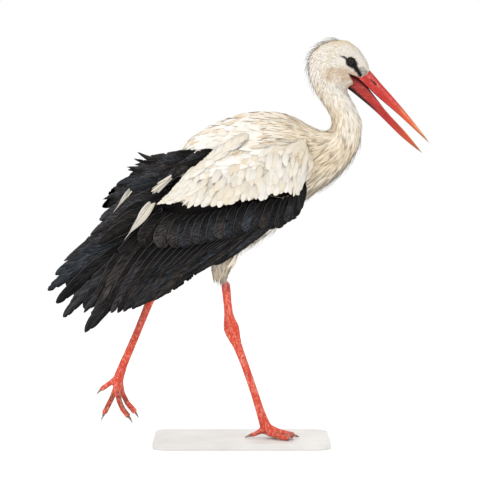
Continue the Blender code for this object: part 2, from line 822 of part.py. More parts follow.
def make_claw(name, rows, mats, floor, grow):
    """Horn claw at the end of a toe, bending downwards."""
    end = Vector(rows[-1][:3]) * MM
    along = (end - Vector(rows[-2][:3]) * MM).normalized()
    start = end - along * CLAW_SET
    down = Vector((0, 0, -1)) if floor is None else Vector((0, 0, -CLAW_PLANTED_DROOP))
    rings = []
    wide = along.cross(Vector((0, 0, 1)))
    if wide.length < CLAW_STEEPNESS:
        wide = along.cross(Vector((1, 0, 0)))
    wide.normalize()
    for number in range(CLAW_RINGS):
        share = number / (CLAW_RINGS - 1)
        bend = down * (CLAW_DROOP * CLAW_LENGTH * share ** 2)
        centre = start + along * (CLAW_LENGTH * share) + bend
        radius = CLAW_RADIUS + (CLAW_TIP - CLAW_RADIUS) * share ** CLAW_TAPER + grow
        tall = wide.cross(along).normalized()
        ring = []
        for side in range(CLAW_SIDES):
            angle = 2 * math.pi * side / CLAW_SIDES
            point = centre + wide * (radius * math.cos(angle)) + tall * (radius * math.sin(angle))
            if floor is not None:
                point.z = max(point.z, floor - grow)
            ring.append(point)
        rings.append(ring)
    return loft(name, rings, mats["claw_horn"])


# ---- base -------------------------------------------------------------------
def rounded_outline(inset):
    """Rounded rectangle of the base, drawn in from its edge."""
    outline = []
    radius = BASE_CORNER
    half_x = BASE_LENGTH / 2 - radius
    half_y = BASE_WIDTH / 2 - radius
    for corner, (sx, sy) in enumerate(((1, 1), (-1, 1), (-1, -1), (1, -1))):
        for step in range(BASE_CORNER_STEPS + 1):
            angle = math.pi / 2 * (corner + step / BASE_CORNER_STEPS)
            x = BASE_CENTRE_X + sx * half_x + (radius - inset) * math.cos(angle)
            y = sy * half_y + (radius - inset) * math.sin(angle)
            outline.append((x, y))
    return outline


def make_base(mats):
    """Flat base with a small chamfer above."""
    rings = []
    for inset, height in ((0.0, 0.0), (0.0, BASE_THICK - BASE_CHAMFER),
                          (BASE_CHAMFER, BASE_THICK)):
        rings.append([Vector((x, y, height)) for x, y in rounded_outline(inset)])
    base = loft("stand_base", rings, mats["base_board"])
    for polygon in base.data.polygons:
        polygon.use_smooth = False
    return base


def recentre():
    """Move everything so that the box's bottom centre is the origin."""
    low = Vector((math.inf, math.inf, math.inf))
    high = -low
    for obj in bpy.data.objects:
        for vert in obj.data.vertices:
            for axis in range(3):
                low[axis] = min(low[axis], vert.co[axis])
                high[axis] = max(high[axis], vert.co[axis])
    shift = Vector((-(low.x + high.x) / 2, -(low.y + high.y) / 2, -low.z))
    for obj in bpy.data.objects:
        for vert in obj.data.vertices:
            vert.co += shift


def main():
    """Build the whole model."""
    clear_scene()
    mats = {}
    for name, (colour, roughness) in FINISHES.items():
        mats[name] = material(name, colour, roughness)
    head = make_body(mats)[0]
    make_bill(head, mats)
    make_eyes(head, mats)
    make_tail(mats)
    make_wings(mats)
    make_leg("right", RIGHT_THIGH, RIGHT_LEG, RIGHT_ANKLE, mats)
    make_leg("left", LEFT_THIGH, LEFT_LEG, LEFT_ANKLE, mats)
    make_foot("right", RIGHT_TOES, RIGHT_LEG, mats, PLANTED_FLOOR)
    make_foot("left", LEFT_TOES, LEFT_LEG, mats, None)
    make_base(mats)
    recentre()


main()
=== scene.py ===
import itertools
import json
import math

import bpy
import numpy as np
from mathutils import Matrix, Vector
from mathutils.bvhtree import BVHTree

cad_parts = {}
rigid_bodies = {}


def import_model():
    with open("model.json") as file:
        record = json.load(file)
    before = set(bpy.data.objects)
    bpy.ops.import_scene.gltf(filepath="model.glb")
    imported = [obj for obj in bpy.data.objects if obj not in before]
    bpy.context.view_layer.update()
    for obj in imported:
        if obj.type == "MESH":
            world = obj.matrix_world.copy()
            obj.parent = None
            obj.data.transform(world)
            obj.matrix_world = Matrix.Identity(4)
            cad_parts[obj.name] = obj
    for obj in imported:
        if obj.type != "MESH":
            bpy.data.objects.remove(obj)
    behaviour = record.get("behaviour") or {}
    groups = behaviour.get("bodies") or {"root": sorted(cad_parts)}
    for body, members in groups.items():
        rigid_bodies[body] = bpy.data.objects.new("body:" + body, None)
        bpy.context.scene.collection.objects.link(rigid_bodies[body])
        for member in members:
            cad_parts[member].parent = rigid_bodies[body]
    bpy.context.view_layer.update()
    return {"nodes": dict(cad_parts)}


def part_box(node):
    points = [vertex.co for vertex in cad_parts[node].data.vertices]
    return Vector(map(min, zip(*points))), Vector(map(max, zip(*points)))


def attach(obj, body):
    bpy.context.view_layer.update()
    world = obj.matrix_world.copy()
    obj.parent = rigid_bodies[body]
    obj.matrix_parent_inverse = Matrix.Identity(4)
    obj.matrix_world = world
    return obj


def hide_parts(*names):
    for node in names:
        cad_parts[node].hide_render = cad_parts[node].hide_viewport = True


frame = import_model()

# Sizes and places are in mm of the model's own, unless a comment says otherwise.
MM = 0.001
RNG = np.random.default_rng(7)
SIDES = {"right": -1, "left": 1}             # sign of y on each side

# ---- places in the frame ------------------------------------------------------
BASE_LOW, BASE_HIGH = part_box("stand_base")
# The model's own x starts 8 mm to the rear of the middle of the base.
ORIGIN_X = (BASE_LOW[0] + BASE_HIGH[0]) / 2 - 8 * MM

# Cross sections of the body from the bill's base to the rump, in mm:
# dorsal x, z, ventral x, z.
BODY_LINES = (
    (273, 758, 246, 741), (266, 784, 241, 733), (248, 812, 235, 727),
    (221, 829, 229, 726), (191, 829, 227, 724), (164, 818, 227, 722),
    (146, 800, 228, 720), (139, 776, 230, 716), (144, 750, 234, 710),
    (153, 723, 239, 702), (167, 702, 245, 690), (182, 679, 253, 675),
    (190, 659, 259, 655), (184, 644, 259, 634), (172, 645, 254, 612),
    (157, 652, 244, 588), (140, 661, 228, 563), (122, 672, 205, 540),
    (99, 681, 170, 515), (71, 685, 132, 489), (30, 685, 87, 445),
    (-19, 673, 26, 402), (-71, 650, -46, 374), (-106, 623, -108, 378),
    (-131, 580, -159, 396), (-153, 540, -196, 411), (-166, 515, -208, 416),
)
# Outer surface of the folded wing: x, middle height, half height, half width.
WING_SHAPE = (
    (-395, 318, 60, 24), (-313, 338, 82, 33), (-241, 402, 122, 46),
    (-159, 446, 138, 63), (-77, 499, 150, 78), (5, 536, 142, 87),
    (67, 554, 127, 89), (118, 575, 100, 80), (140, 584, 88, 71),
    (160, 590, 78, 58),
)
WING_TOP_POWER = 1.8
WING_HANG = 0.15
WING_MIN_HALF = 4.0
WING_SAMPLES, WING_BLUR = 112, 7             # the table is read densely and smoothed

SKIN_NODES = ("head", "neck_upper", "neck_lower", "trunk", "tail",
              "thigh_right", "thigh_left", "wing_right_coverts", "wing_left_coverts",
              "shank_right", "shank_left", "tarsus_right", "tarsus_left",
              "foot_right", "foot_left")
SKIN_VOXEL = 2.55 * MM
SKIN_SWELL = 0.5              # closes the gaps between the nodes, and is taken off again
WING_COAT = 3.5               # depth of the skin under the small coverts
BARE_REGAIN = 0.55            # makes up for what smoothing takes off the legs
PLATE_SINK = 15.0             # the plates' skin past the coverts' edge is pushed in by this
EYE_X, EYE_Z, EYE_Y, EYE_R = 230.0, 781.0, 17.5, 8.5
LEGS_BARE = 250.0             # below this height the legs are all bare
CLAW_ROOT = 4.5
CLAW_BASE_RADIUS, CLAW_TIP_RADIUS = 3.4, 0.5
CLAW_RINGS, CLAW_SIDES = 14, 12
CLAW_END = 0.75               # what lies further out counts as an end of the claw

# ---- colours --------------------------------------------------------------------
WHITE = np.array((0.82, 0.785, 0.72))
CREAM = np.array((0.74, 0.63, 0.46))
TAN = np.array((0.54, 0.37, 0.21))
LILAC = np.array((0.58, 0.55, 0.55))
BLACK = np.array((0.0115, 0.011, 0.012))
BLUE_BLACK = np.array((0.0105, 0.0120, 0.0142))
BROWN_BLACK = np.array((0.0134, 0.0120, 0.0114))
TOE_BROWN = np.array((0.13, 0.045, 0.022))
FACE_BLACK = np.array((0.009, 0.007, 0.007))
LORE_GREY = np.array((0.20, 0.18, 0.17))
JAW_SHADOW = np.array((0.22, 0.16, 0.10))
MOUTH_RED = np.array((0.16, 0.008, 0.008))
LEG_RED = np.array((0.70, 0.060, 0.022))
LEG_SHADE = np.array((0.16, 0.02, 0.04))


def world(points):
    """World points from the model's own millimetres."""
    out = np.array(points, dtype=float) * MM
    out[..., 0] += ORIGIN_X
    return out


def to_mm(points):
    """World points as millimetres in the model's own frame."""
    out = np.array(points, dtype=float) / MM
    out[..., 0] -= ORIGIN_X / MM
    return out


def unit(v):
    """Unit vectors along the last axis."""
    return v / np.maximum(np.linalg.norm(v, axis=-1, keepdims=True), 1e-9)


def smoothstep(low, high, value):
    """Smooth ramp from 0 at low to 1 at high."""
    t = np.clip((value - low) / (high - low), 0.0, 1.0)
    return t * t * (3 - 2 * t)


def lattice(cells):
    """Repeatable random value for whole-number cells."""
    n = cells[..., 0] * 374761393 + cells[..., 1] * 668265263 + cells[..., 2] * 2147483647
    n = (n ^ (n >> 13)) * 1274126177
    return ((n ^ (n >> 16)) & 0xFFFF) / 65535.0


def noise(points, size):
    """Smooth value noise from 0 to 1 over points in mm."""
    p = np.asarray(points) / size + 1000.0
    base = np.floor(p).astype(np.int64)
    f = p - base
    f = f * f * (3 - 2 * f)
    total = 0.0
    for dx, dy, dz in itertools.product((0, 1), repeat=3):
        weight = np.abs(1 - dx - f[..., 0]) * np.abs(1 - dy - f[..., 1])
        weight = weight * np.abs(1 - dz - f[..., 2])
        total = total + weight * lattice(base + np.array((dx, dy, dz)))
    return total


# ---- mesh helpers -----------------------------------------------------------------
ATTRIBUTES = {"Tint": ("FLOAT_COLOR", "color", 3), "Vane": ("FLOAT_VECTOR", "vector", 3),
              "Bare": ("FLOAT", "value", 1)}


def quad_mesh(name, points, quads, material, tint=None, vane=None, uvs=None,
              corner_uvs=None, crease=None):
    """Smooth mesh of quads with its colours and maps, riding on the model."""
    mesh = bpy.data.meshes.new(name)
    points = np.asarray(points, dtype=np.float32).reshape(-1, 3)
    quads = np.asarray(quads, dtype=np.int32)
    count = len(quads)
    mesh.vertices.add(len(points))
    mesh.vertices.foreach_set("co", points.ravel())
    mesh.loops.add(count * 4)
    mesh.loops.foreach_set("vertex_index", quads.ravel())
    mesh.polygons.add(count)
    mesh.polygons.foreach_set("loop_start", np.arange(0, count * 4, 4, dtype=np.int32))
    mesh.polygons.foreach_set("use_smooth", np.ones(count, dtype=bool))
    mesh.update(calc_edges=True)
    if crease:
        mesh.set_sharp_from_angle(angle=math.radians(crease))
    if tint is not None:
        add_attribute(mesh, "Tint", tint)
    if vane is not None:
        add_attribute(mesh, "Vane", vane)
    if uvs is not None:
        corner_uvs = np.asarray(uvs)[quads.ravel()]
    if corner_uvs is not None:
        layer = mesh.uv_layers.new(name="OFBake")
        layer.data.foreach_set("uv", np.asarray(corner_uvs, dtype=np.float32).ravel())
    mesh.materials.append(material)
    obj = bpy.data.objects.new(name, mesh)
    bpy.context.scene.collection.objects.link(obj)
    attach(obj, "root")
    return obj


def add_attribute(mesh, name, values):
    """Colour, vector or single value for each point of a mesh."""
    kind, key, width = ATTRIBUTES[name]
    values = np.asarray(values, dtype=np.float32).reshape(-1, width)
    if name == "Tint":
        values = np.insert(values, 3, 1.0, axis=1)
    mesh.attributes.new(name, kind, "POINT").data.foreach_set(key, values.ravel())


def mesh_values(items, key, width=3, kind=np.float32):
    """One value of all the items of a mesh, as an array."""
    values = np.empty(len(items) * width, dtype=kind)
    items.foreach_get(key, values)
    return values.reshape(-1, width).astype(float) if kind == np.float32 else values


def search_tree(points, faces):
    """Tree that finds the nearest face to a place, or the first one along a ray."""
    return BVHTree.FromPolygons([Vector(p) for p in points], faces)


def tube_quads(rings, sides, count=1):
    """Quads of closed tubes with both ends capped by quads (sides must be even)."""
    quads = []
    for k in range(rings - 1):
        for j in range(sides):
            n = (j + 1) % sides
            quads.append((k * sides + j, k * sides + n, (k + 1) * sides + n, (k + 1) * sides + j))
    for k, flip in ((0, True), (rings - 1, False)):
        for j in range(sides // 2 - 1):
            cap = (k * sides + j, k * sides + j + 1, k * sides + sides - 2 - j,
                   k * sides + sides - 1 - j)
            quads.append(cap[::-1] if flip else cap)
    quads = np.array(quads)
    steps = np.arange(count)[:, None, None] * (rings * sides)
    return (quads[None] + steps).reshape(-1, 4)


# ---- materials ----------------------------------------------------------------------
class Nodes:
    """Small helper that builds a Principled material."""

    def __init__(self, name, roughness, specular=0.5):
        self.material = bpy.data.materials.new(name)
        self.material.use_nodes = True
        self.tree = self.material.node_tree
        self.shader = self.tree.nodes["Principled BSDF"]
        self.roughness(roughness)
        self.put(self.shader, "Specular IOR Level", specular)

    def add(self, kind, settings=None, **inputs):
        """New node with plain values or links for its inputs."""
        node = self.tree.nodes.new(kind)
        for key, value in (settings or {}).items():
            setattr(node, key, value)
        for key, value in inputs.items():
            self.put(node, key.replace("_", " "), value)
        return node

    def put(self, node, key, value):
        """Set or link one input."""
        socket = node.inputs[int(key)] if key.isdigit() else node.inputs[key]
        if isinstance(value, bpy.types.NodeSocket):
            self.tree.links.new(value, socket)
        elif socket.type == "RGBA":
            socket.default_value = (*value, 1.0)
        else:
            socket.default_value = value

    def attribute(self, name, output="Color"):
        """Mesh attribute."""
        return self.add("ShaderNodeAttribute", {"attribute_name": name}).outputs[output]

    def maths(self, operation, a, b=0.0, c=0.0):
        """Result of one operation on up to three values."""
        node = self.add("ShaderNodeMath", {"operation": operation})
        for number, value in enumerate((a, b, c)):
            self.put(node, str(number), value)
        return node.outputs[0]

    def times(self, a, b):
        """Product of two values."""
        return self.maths("MULTIPLY", a, b)

    def scaled(self, value, gain, start):
        """Value times a gain, added to a start."""
        return self.maths("MULTIPLY_ADD", value, gain, start)

    def vane(self):
        """Place across and along a vane, and a number of its own."""
        node = self.add("ShaderNodeSeparateXYZ")
        self.put(node, "Vector", self.attribute("Vane", "Vector"))
        return node.outputs

    def streaks(self, scale, x, y, z, detail, rough=0.6):
        """Noise drawn out along a vane."""
        place = self.add("ShaderNodeCombineXYZ", X=x, Y=y, Z=z).outputs[0]
        return self.noise(scale, place, detail, rough)

    def grey(self, value):
        """Colour with the same value in all three channels."""
        return self.add("ShaderNodeCombineColor", Red=value, Green=value, Blue=value).outputs[0]

    def mix(self, share, a, b, blend="MIX"):
        """Mix of two colours."""
        node = self.add("ShaderNodeMix", {"data_type": "RGBA", "blend_type": blend})
        self.put(node, "0", share)
        self.put(node, "6", a)
        self.put(node, "7", b)
        return node.outputs[2]

    def noise(self, scale, vector=None, detail=3.0, rough=0.6):
        """Noise value, in object space where no vector is given."""
        if vector is None:
            vector = self.add("ShaderNodeTexCoord").outputs["Object"]
        node = self.add("ShaderNodeTexNoise", Scale=scale, Detail=detail, Roughness=rough)
        self.put(node, "Vector", vector)
        return node.outputs["Fac"]

    def ramp(self, value, low, high):
        """Value spread to 0..1 between two limits."""
        node = self.add("ShaderNodeMapRange", {"interpolation_type": "SMOOTHSTEP"})
        self.put(node, "0", value)
        self.put(node, "1", low)
        self.put(node, "2", high)
        return node.outputs[0]

    def colour(self, value):
        """Set or link the base colour."""
        self.put(self.shader, "Base Color", value)

    def bump(self, height, strength, distance):
        """Surface relief."""
        node = self.add("ShaderNodeBump", Strength=strength, Distance=distance, Height=height)
        self.put(self.shader, "Normal", node.outputs[0])

    def roughness(self, value):
        """Set or link the roughness."""
        self.put(self.shader, "Roughness", value)


def barbs(nodes, pitch, slant):
    """Fine barb lines that run obliquely from the shaft."""
    across, along, chance = nodes.vane()
    reach = nodes.maths("ABSOLUTE", across)
    line = nodes.maths("SINE", nodes.scaled(along, pitch, nodes.times(reach, -slant)))
    return reach, along, chance, line


def white_feathers(name):
    """Soft cream vanes with fine barbs."""
    n = Nodes(name, 0.85, 0.12)
    line = barbs(n, 90.0, 26.0)[3]
    fine = n.noise(420.0)
    shade = n.scaled(line, 0.03, n.scaled(fine, 0.14, 0.92))
    n.colour(n.mix(1.0, n.attribute("Tint"), n.grey(shade), "MULTIPLY"))
    n.bump(n.scaled(fine, 0.5, line), 0.15, 0.0004)
    n.put(n.shader, "Sheen Weight", 0.1)
    n.put(n.shader, "Sheen Roughness", 0.6)
    return n.material


def black_feathers(name):
    """Dark glossy vanes with a pale shaft, barb lines and a painted highlight along both rims."""
    n = Nodes(name, 0.45, 0.05)
    reach, along, chance, line = barbs(n, 130.0, 30.0)
    spread = n.scaled(reach, -0.23, along)
    streaks = n.streaks(1.0, n.times(spread, 42.0), n.times(reach, 2.2), chance, 4.0)
    fine = n.noise(300.0)
    light = n.scaled(line, 0.12, n.scaled(fine, 0.4, 0.16))
    light = n.maths("ADD", light, n.times(n.ramp(streaks, 0.42, 0.70), 2.9))
    body = n.mix(1.0, n.attribute("Tint"), n.grey(light), "MULTIPLY")
    # Painted highlight: both rims of each vane are paler, as if lit along their edges.
    edge = n.times(n.ramp(reach, 0.86, 1.0), 0.75)
    body = n.mix(edge, body, (0.075, 0.068, 0.066))
    shaft = n.times(n.ramp(reach, 0.065, 0.02), 0.35)
    n.colour(n.mix(shaft, body, (0.045, 0.040, 0.038)))
    n.roughness(n.scaled(fine, 0.22, 0.36))
    height = n.maths("ADD", n.times(line, 0.6), n.times(shaft, 3.0))
    n.bump(height, 0.5, 0.0005)
    return n.material


def skin_material():
    """Skin: plain under the plumage, scaly and mottled on the bare legs."""
    n = Nodes("skin_and_scales", 0.62, 0.4)
    tint = n.attribute("Tint")
    bare = n.attribute("Bare", "Fac")
    where = n.add("ShaderNodeTexCoord").outputs["Object"]
    squeeze = n.add("ShaderNodeMapping", Vector=where, Scale=(1.0, 0.8, 0.62)).outputs[0]
    scales = n.add("ShaderNodeTexVoronoi", {"feature": "DISTANCE_TO_EDGE"}, Scale=400.0,
                   Vector=squeeze).outputs["Distance"]
    cell = n.add("ShaderNodeTexVoronoi", Scale=400.0, Vector=squeeze).outputs["Color"]
    chance = n.add("ShaderNodeSeparateColor", Color=cell).outputs[0]
    fibres = n.noise(520.0, detail=4.0)
    mottle = n.ramp(n.noise(95.0, detail=5.0), 0.56, 0.70)
    blotch = n.noise(38.0)
    drawn = n.add("ShaderNodeMapping", Vector=where, Scale=(1.0, 1.0, 0.22)).outputs[0]
    streak = n.ramp(n.noise(120.0, drawn, 4.0), 0.50, 0.66)
    red = n.mix(n.times(streak, 0.55), tint, (0.88, 0.27, 0.22))
    specks = n.times(n.ramp(chance, 0.60, 0.80), n.scaled(mottle, 0.55, 0.25))
    red = n.mix(specks, red, (0.92, 0.56, 0.42))
    red = n.mix(n.times(n.ramp(blotch, 0.52, 0.66), 0.35), red, (0.40, 0.03, 0.02))
    red = n.mix(0.14, red, cell, "OVERLAY")
    groove = n.ramp(scales, 0.0, 0.10)
    red = n.mix(n.scaled(groove, -0.34, 0.34), red, (0.22, 0.02, 0.015))
    soft = n.add("ShaderNodeCombineColor", Red=n.scaled(fibres, 0.5, 0.72),
                 Green=n.scaled(fibres, 0.5, 0.71), Blue=n.scaled(fibres, 0.5, 0.70)).outputs[0]
    n.colour(n.mix(bare, n.mix(1.0, tint, soft, "MULTIPLY"), red))
    n.bump(n.maths("ADD", n.times(bare, groove), n.times(fibres, 0.6)), 0.8, 0.0006)
    n.roughness(n.scaled(bare, -0.15, 0.72))
    n.put(n.shader, "Specular IOR Level", n.scaled(bare, 0.32, 0.08))
    return n.material


def bill_material():
    """Red horn, darker at the base, with a painted highlight along the ridge."""
    n = Nodes("bill_horn", 0.34, 0.3)
    across, along, chance = n.vane()
    grain = n.streaks(9.0, n.times(across, 6.0), n.times(along, 0.8), chance, 5.0, 0.7)
    fine = n.noise(330.0)
    colour = n.mix(n.ramp(grain, 0.32, 0.70), (0.27, 0.007, 0.010), (0.66, 0.042, 0.030))
    spots = n.times(n.ramp(fine, 0.52, 0.72), n.ramp(along, 0.75, 0.25))
    colour = n.mix(n.times(spots, 0.40), colour, (0.90, 0.34, 0.26))
    colour = n.mix(n.ramp(along, 0.66, 1.0), colour, (0.68, 0.11, 0.035))
    n.colour(n.mix(1.0, colour, n.attribute("Tint"), "MULTIPLY"))
    n.bump(n.maths("ADD", grain, n.times(fine, 0.3)), 0.25, 0.0006)
    n.roughness(n.scaled(fine, 0.25, 0.26))
    return n.material


def claw_material():
    """Dark horn streaked with paler horn."""
    n = Nodes("claw_keratin", 0.35, 0.5)
    streak = n.noise(160.0, detail=4.0)
    n.colour(n.mix(n.ramp(streak, 0.35, 0.7), (0.13, 0.075, 0.06), (0.40, 0.31, 0.27)))
    n.bump(streak, 0.3, 0.0004)
    return n.material


def eye_material():
    """Dark brown iris round a black pupil under a clear cornea."""
    n = Nodes("eye_wet", 0.05, 0.22)
    ring = n.vane()[0]
    fine = n.noise(900.0)
    iris = n.mix(fine, (0.004, 0.003, 0.002), (0.010, 0.006, 0.004))
    colour = n.mix(n.ramp(ring, 0.30, 0.36), (0.002, 0.002, 0.002), iris)
    n.colour(n.mix(n.ramp(ring, 0.56, 0.64), colour, (0.006, 0.004, 0.004)))
    return n.material


def lid_material():
    """Black wrinkled skin round the eye."""
    n = Nodes("lid_skin", 0.6, 0.15)
    fine = n.noise(700.0, detail=4.0)
    n.colour(n.mix(fine, (0.006, 0.005, 0.005), (0.026, 0.020, 0.018)))
    n.bump(fine, 0.6, 0.0004)
    return n.material


def board_material():
    """Pale satin paint with faint grain."""
    n = Nodes("painted_board", 0.5, 0.4)
    where = n.add("ShaderNodeTexCoord").outputs["Object"]
    stretch = n.add("ShaderNodeMapping", Vector=where, Scale=(0.16, 1.0, 1.0)).outputs[0]
    grain = n.noise(170.0, stretch, 5.0, 0.6)
    cloud = n.noise(9.0)
    colour = n.mix(n.ramp(cloud, 0.3, 0.75), (0.62, 0.60, 0.57), (0.70, 0.68, 0.65))
    n.colour(n.mix(n.times(n.ramp(grain, 0.55, 0.8), 0.3), colour, (0.46, 0.44, 0.41)))
    n.bump(grain, 0.15, 0.0004)
    n.roughness(n.scaled(grain, 0.2, 0.38))
    return n.material


def floor_material():
    """Plain pale studio floor."""
    n = Nodes("studio_floor", 0.85, 0.1)
    cloud = n.noise(1.5)
    n.colour(n.mix(cloud, (0.93, 0.93, 0.93), (0.94, 0.94, 0.94)))
    n.put(n.shader, "Emission Color", (1.0, 1.0, 1.0))
    n.put(n.shader, "Emission Strength", 0.07)
    return n.material


# ---- body frame: flow, regions, markings and painted shade ---------------------------
def tangents(line, reach=5):
    """Directions along a line of points, taken over a few neighbours each way."""
    last = len(line) - 1
    at = np.arange(len(line))
    return unit(line[np.minimum(at + reach, last)] - line[np.maximum(at - reach, 0)])


LIE_BACK = 0.35               # share of the crossways direction in the lie of the plumage


def dense_lines(count=110):
    """Body sections filled in between the named ones, with the lie of the plumage."""
    table = np.array(BODY_LINES, dtype=float)
    at = np.linspace(0, len(table) - 1, count)
    low = np.minimum(at.astype(int), len(table) - 2)
    share = (at - low)[:, None]
    rows = table[low] * (1 - share) + table[low + 1] * share
    dorsal, ventral = rows[:, :2], rows[:, 2:]
    up = unit(dorsal - ventral)
    across = np.column_stack([-up[:, 1], up[:, 0]])
    return (at, dorsal, ventral, unit(tangents(dorsal) + LIE_BACK * across),
            unit(tangents(ventral) + LIE_BACK * across))


LINE_AT, LINE_D, LINE_V, FLOW_D, FLOW_V = dense_lines()


def body_place(points):
    """Section number, height share and lie of the plumage for points in mm."""
    xz = points[:, [0, 2]]
    best = np.full(len(points), 1e9)
    number = np.zeros(len(points))
    share = np.zeros(len(points))
    flow = np.zeros((len(points), 2))
    for row in range(len(LINE_AT)):
        axis = LINE_D[row] - LINE_V[row]
        along = ((xz - LINE_V[row]) @ axis) / (axis @ axis)
        part = np.clip(along, 0, 1)[:, None]
        far = np.linalg.norm(xz - (LINE_V[row] + part * axis), axis=1)
        closer = far < best
        best[closer] = far[closer]
        number[closer] = LINE_AT[row]
        share[closer] = along[closer]
        flow[closer] = (FLOW_V[row] * (1 - part) + FLOW_D[row] * part)[closer]
    return number, share, unit(flow)


def wing_outer(x, z):
    """Half width of the bird over its closed wings, in mm."""
    table = np.array(WING_SHAPE, dtype=float)
    dense = np.linspace(table[0, 0], table[-1, 0], WING_SAMPLES)
    kernel = np.hanning(2 * WING_BLUR + 1)
    kernel /= kernel.sum()
    shape = []
    for column in (1, 2, 3):
        line = np.interp(dense, table[:, 0], table[:, column])
        line = np.convolve(np.pad(line, WING_BLUR, mode="edge"), kernel, "valid")
        shape.append(np.interp(x, dense, line))
    middle, half_height, half_width = shape
    rise = (z - middle) / half_height
    top = np.maximum(1 - np.clip(rise, 0, 1) ** WING_TOP_POWER, 0) ** (1 / WING_TOP_POWER)
    hang = 1 - WING_HANG * np.clip(-rise, 0, 1.3) ** 2
    return np.maximum(half_width * np.where(rise > 0, top, hang), WING_MIN_HALF)


def line_distance(points, a, b):
    """Distance of points from a line between two places in side view."""
    a, b = np.array(a, dtype=float), np.array(b, dtype=float)
    axis = b - a
    xz = points[..., [0, 2]]
    along = np.clip(((xz - a) @ axis) / (axis @ axis), 0, 1)
    return np.linalg.norm(xz - (a + along[..., None] * axis), axis=-1)


def near_line(points, a, b, reach):
    """1 close to a line in side view, fading to 0 at its reach."""
    return 1 - smoothstep(reach * 0.7, reach * 1.15, line_distance(points, a, b))


def blend(colour, other, share):
    """Colours moved towards another one by a share for each point."""
    return colour + (other - colour) * share[:, None]


MOUTH_EDGE = ((226, 757.5), (236, 754), (247, 749.5), (258, 746.5), (266, 744.5),
              (270.5, 748), (273, 762), (310, 762), (310, 655), (249, 703), (231, 722),
              (239.5, 731), (233, 745))
MOUTH_HALF = 4.0


def inside_line(points, outline):
    """Distance inside a closed outline in side view, negative outside."""
    corners = np.array(outline, dtype=float)
    x, z = points[:, 0], points[:, 2]
    least = np.full(len(x), 1e9)
    inside = np.zeros(len(x), dtype=bool)
    for a, b in zip(corners, np.roll(corners, -1, axis=0)):
        axis = b - a
        dx, dz = x - a[0], z - a[1]
        along = np.clip((dx * axis[0] + dz * axis[1]) / (axis @ axis), 0, 1)
        least = np.minimum(least, np.hypot(dx - along * axis[0], dz - along * axis[1]))
        crosses = (a[1] > z) != (b[1] > z)
        slope = axis[0] / (axis[1] if axis[1] else 1e-9)
        inside ^= crosses & (x < a[0] + dz * slope)
    return np.where(inside, least, -least)


# Black lines of the face: start and end from the eye, reach and strength.
FACE_LINES = (((6, -6), (13, -16), 5.5, 1.0), ((12, -14), (20, -27), 4.4, 1.0),
              ((0, 0), (4, -4), 11.0, 1.0), ((-7, 4), (-15, 10), 2.4, 1.0),
              ((-14, 9), (-24, 14), 1.2, 0.8))


def face_mask(points):
    """Black bare skin of the lores and round the eye."""
    wobble = (noise(points, 5.0) - 0.5) * 2.0
    shifted = points + wobble[:, None] * np.array((1.0, 0.0, 0.7))
    eye = np.array((EYE_X, EYE_Z))
    mask = 0.0
    for start, end, reach, strength in FACE_LINES:
        mask = np.maximum(mask, near_line(shifted, eye + start, eye + end, reach) * strength)
    return np.where(np.abs(points[:, 1]) > 6, mask, mask * 0.2)


def lore_mask(points):
    """Grey bristly patch between the black line and the bill."""
    patch = near_line(points, (253, 763), (266, 750), 8.5)
    return patch * (0.45 + 0.55 * smoothstep(0.35, 0.65, noise(points, 3.2)))


def plumage_tint(points, number):
    """Colour of the white plumage for points in mm, with painted shade round the gape and under
    the jaw.
    """
    broad = noise(points, 46.0)
    small = noise(points + 300.0, 15.0)
    warm = smoothstep(0.50, 0.80, broad * 0.6 + small * 0.4)
    cool = smoothstep(0.58, 0.85, noise(points + 900.0, 34.0) * 0.55 + small * 0.45)
    neck = smoothstep(8.0, 11.5, number) * (1 - smoothstep(18.5, 20.5, number))
    low = smoothstep(0, 1, (480 - points[:, 2]) / 120) * 0.5
    head = (1 - smoothstep(7.5, 10.0, number)) * (0.16 + 0.35 * warm)
    chest = smoothstep(12.0, 14.0, number) * (1 - smoothstep(17.0, 19.0, number)) * 0.35
    warmth = np.clip(warm * 0.45 + neck * (0.40 + 0.45 * warm) + low * 0.5 + head + chest,
                     0, 1.0)
    colour = blend(WHITE, CREAM, warmth)
    # Painted shade, tan and patchy, below the eye and round the gape.
    cheek_shade = np.maximum(near_line(points, (194, 764), (236, 748), 15.0) * 0.85,
                       near_line(points, (222, 729), (241, 735), 8.0))
    patchy = smoothstep(0.30, 0.66, noise(points + 500.0, 6.0))
    colour = blend(colour, TAN, cheek_shade * (0.32 + 0.60 * patchy))
    # Painted shadow, olive-brown, under the jaw where the cheek meets the neck.
    jaw_shadow = near_line(points, (204, 741), (225, 725), 6.5) * (0.35 + 0.65 * patchy)
    colour = blend(colour, JAW_SHADOW, jaw_shadow * 0.55)
    colour = blend(colour, LILAC, cool * 0.16)
    colour = blend(colour, LORE_GREY, lore_mask(points) * 0.92)
    return blend(colour, FACE_BLACK, face_mask(points))


# ---- skin ---------------------------------------------------------------------------
def relax(points, edges, rounds, weight):
    """Laplacian smoothing with a weight for each point."""
    a, b = edges[:, 0], edges[:, 1]
    count = np.bincount(np.concatenate([a, b]), minlength=len(points)).astype(float)
    for _ in range(rounds):
        total = np.zeros_like(points)
        for axis in range(3):
            total[:, axis] = (np.bincount(a, points[b, axis], len(points))
                              + np.bincount(b, points[a, axis], len(points)))
        mean = total / np.maximum(count, 1)[:, None]
        points = points + (mean - points) * weight[:, None]
    return points


# Section numbers and the depth of the plumage there.
COAT_DEPTHS = ((0, 2, 7, 10, 16, 19, 26), (1.2, 2.4, 3.4, 4.6, 6.5, 7.0, 6.0))


def coat_depth(points, bare, plate):
    """How deep the skin lies under the outer line of the plumage, in mm."""
    number = body_place(points)[0]
    depth = np.interp(number, *COAT_DEPTHS)
    depth = np.where(plate > 0, np.where(plate > 1, 0.0, WING_COAT), depth)
    return depth * (1 - bare)


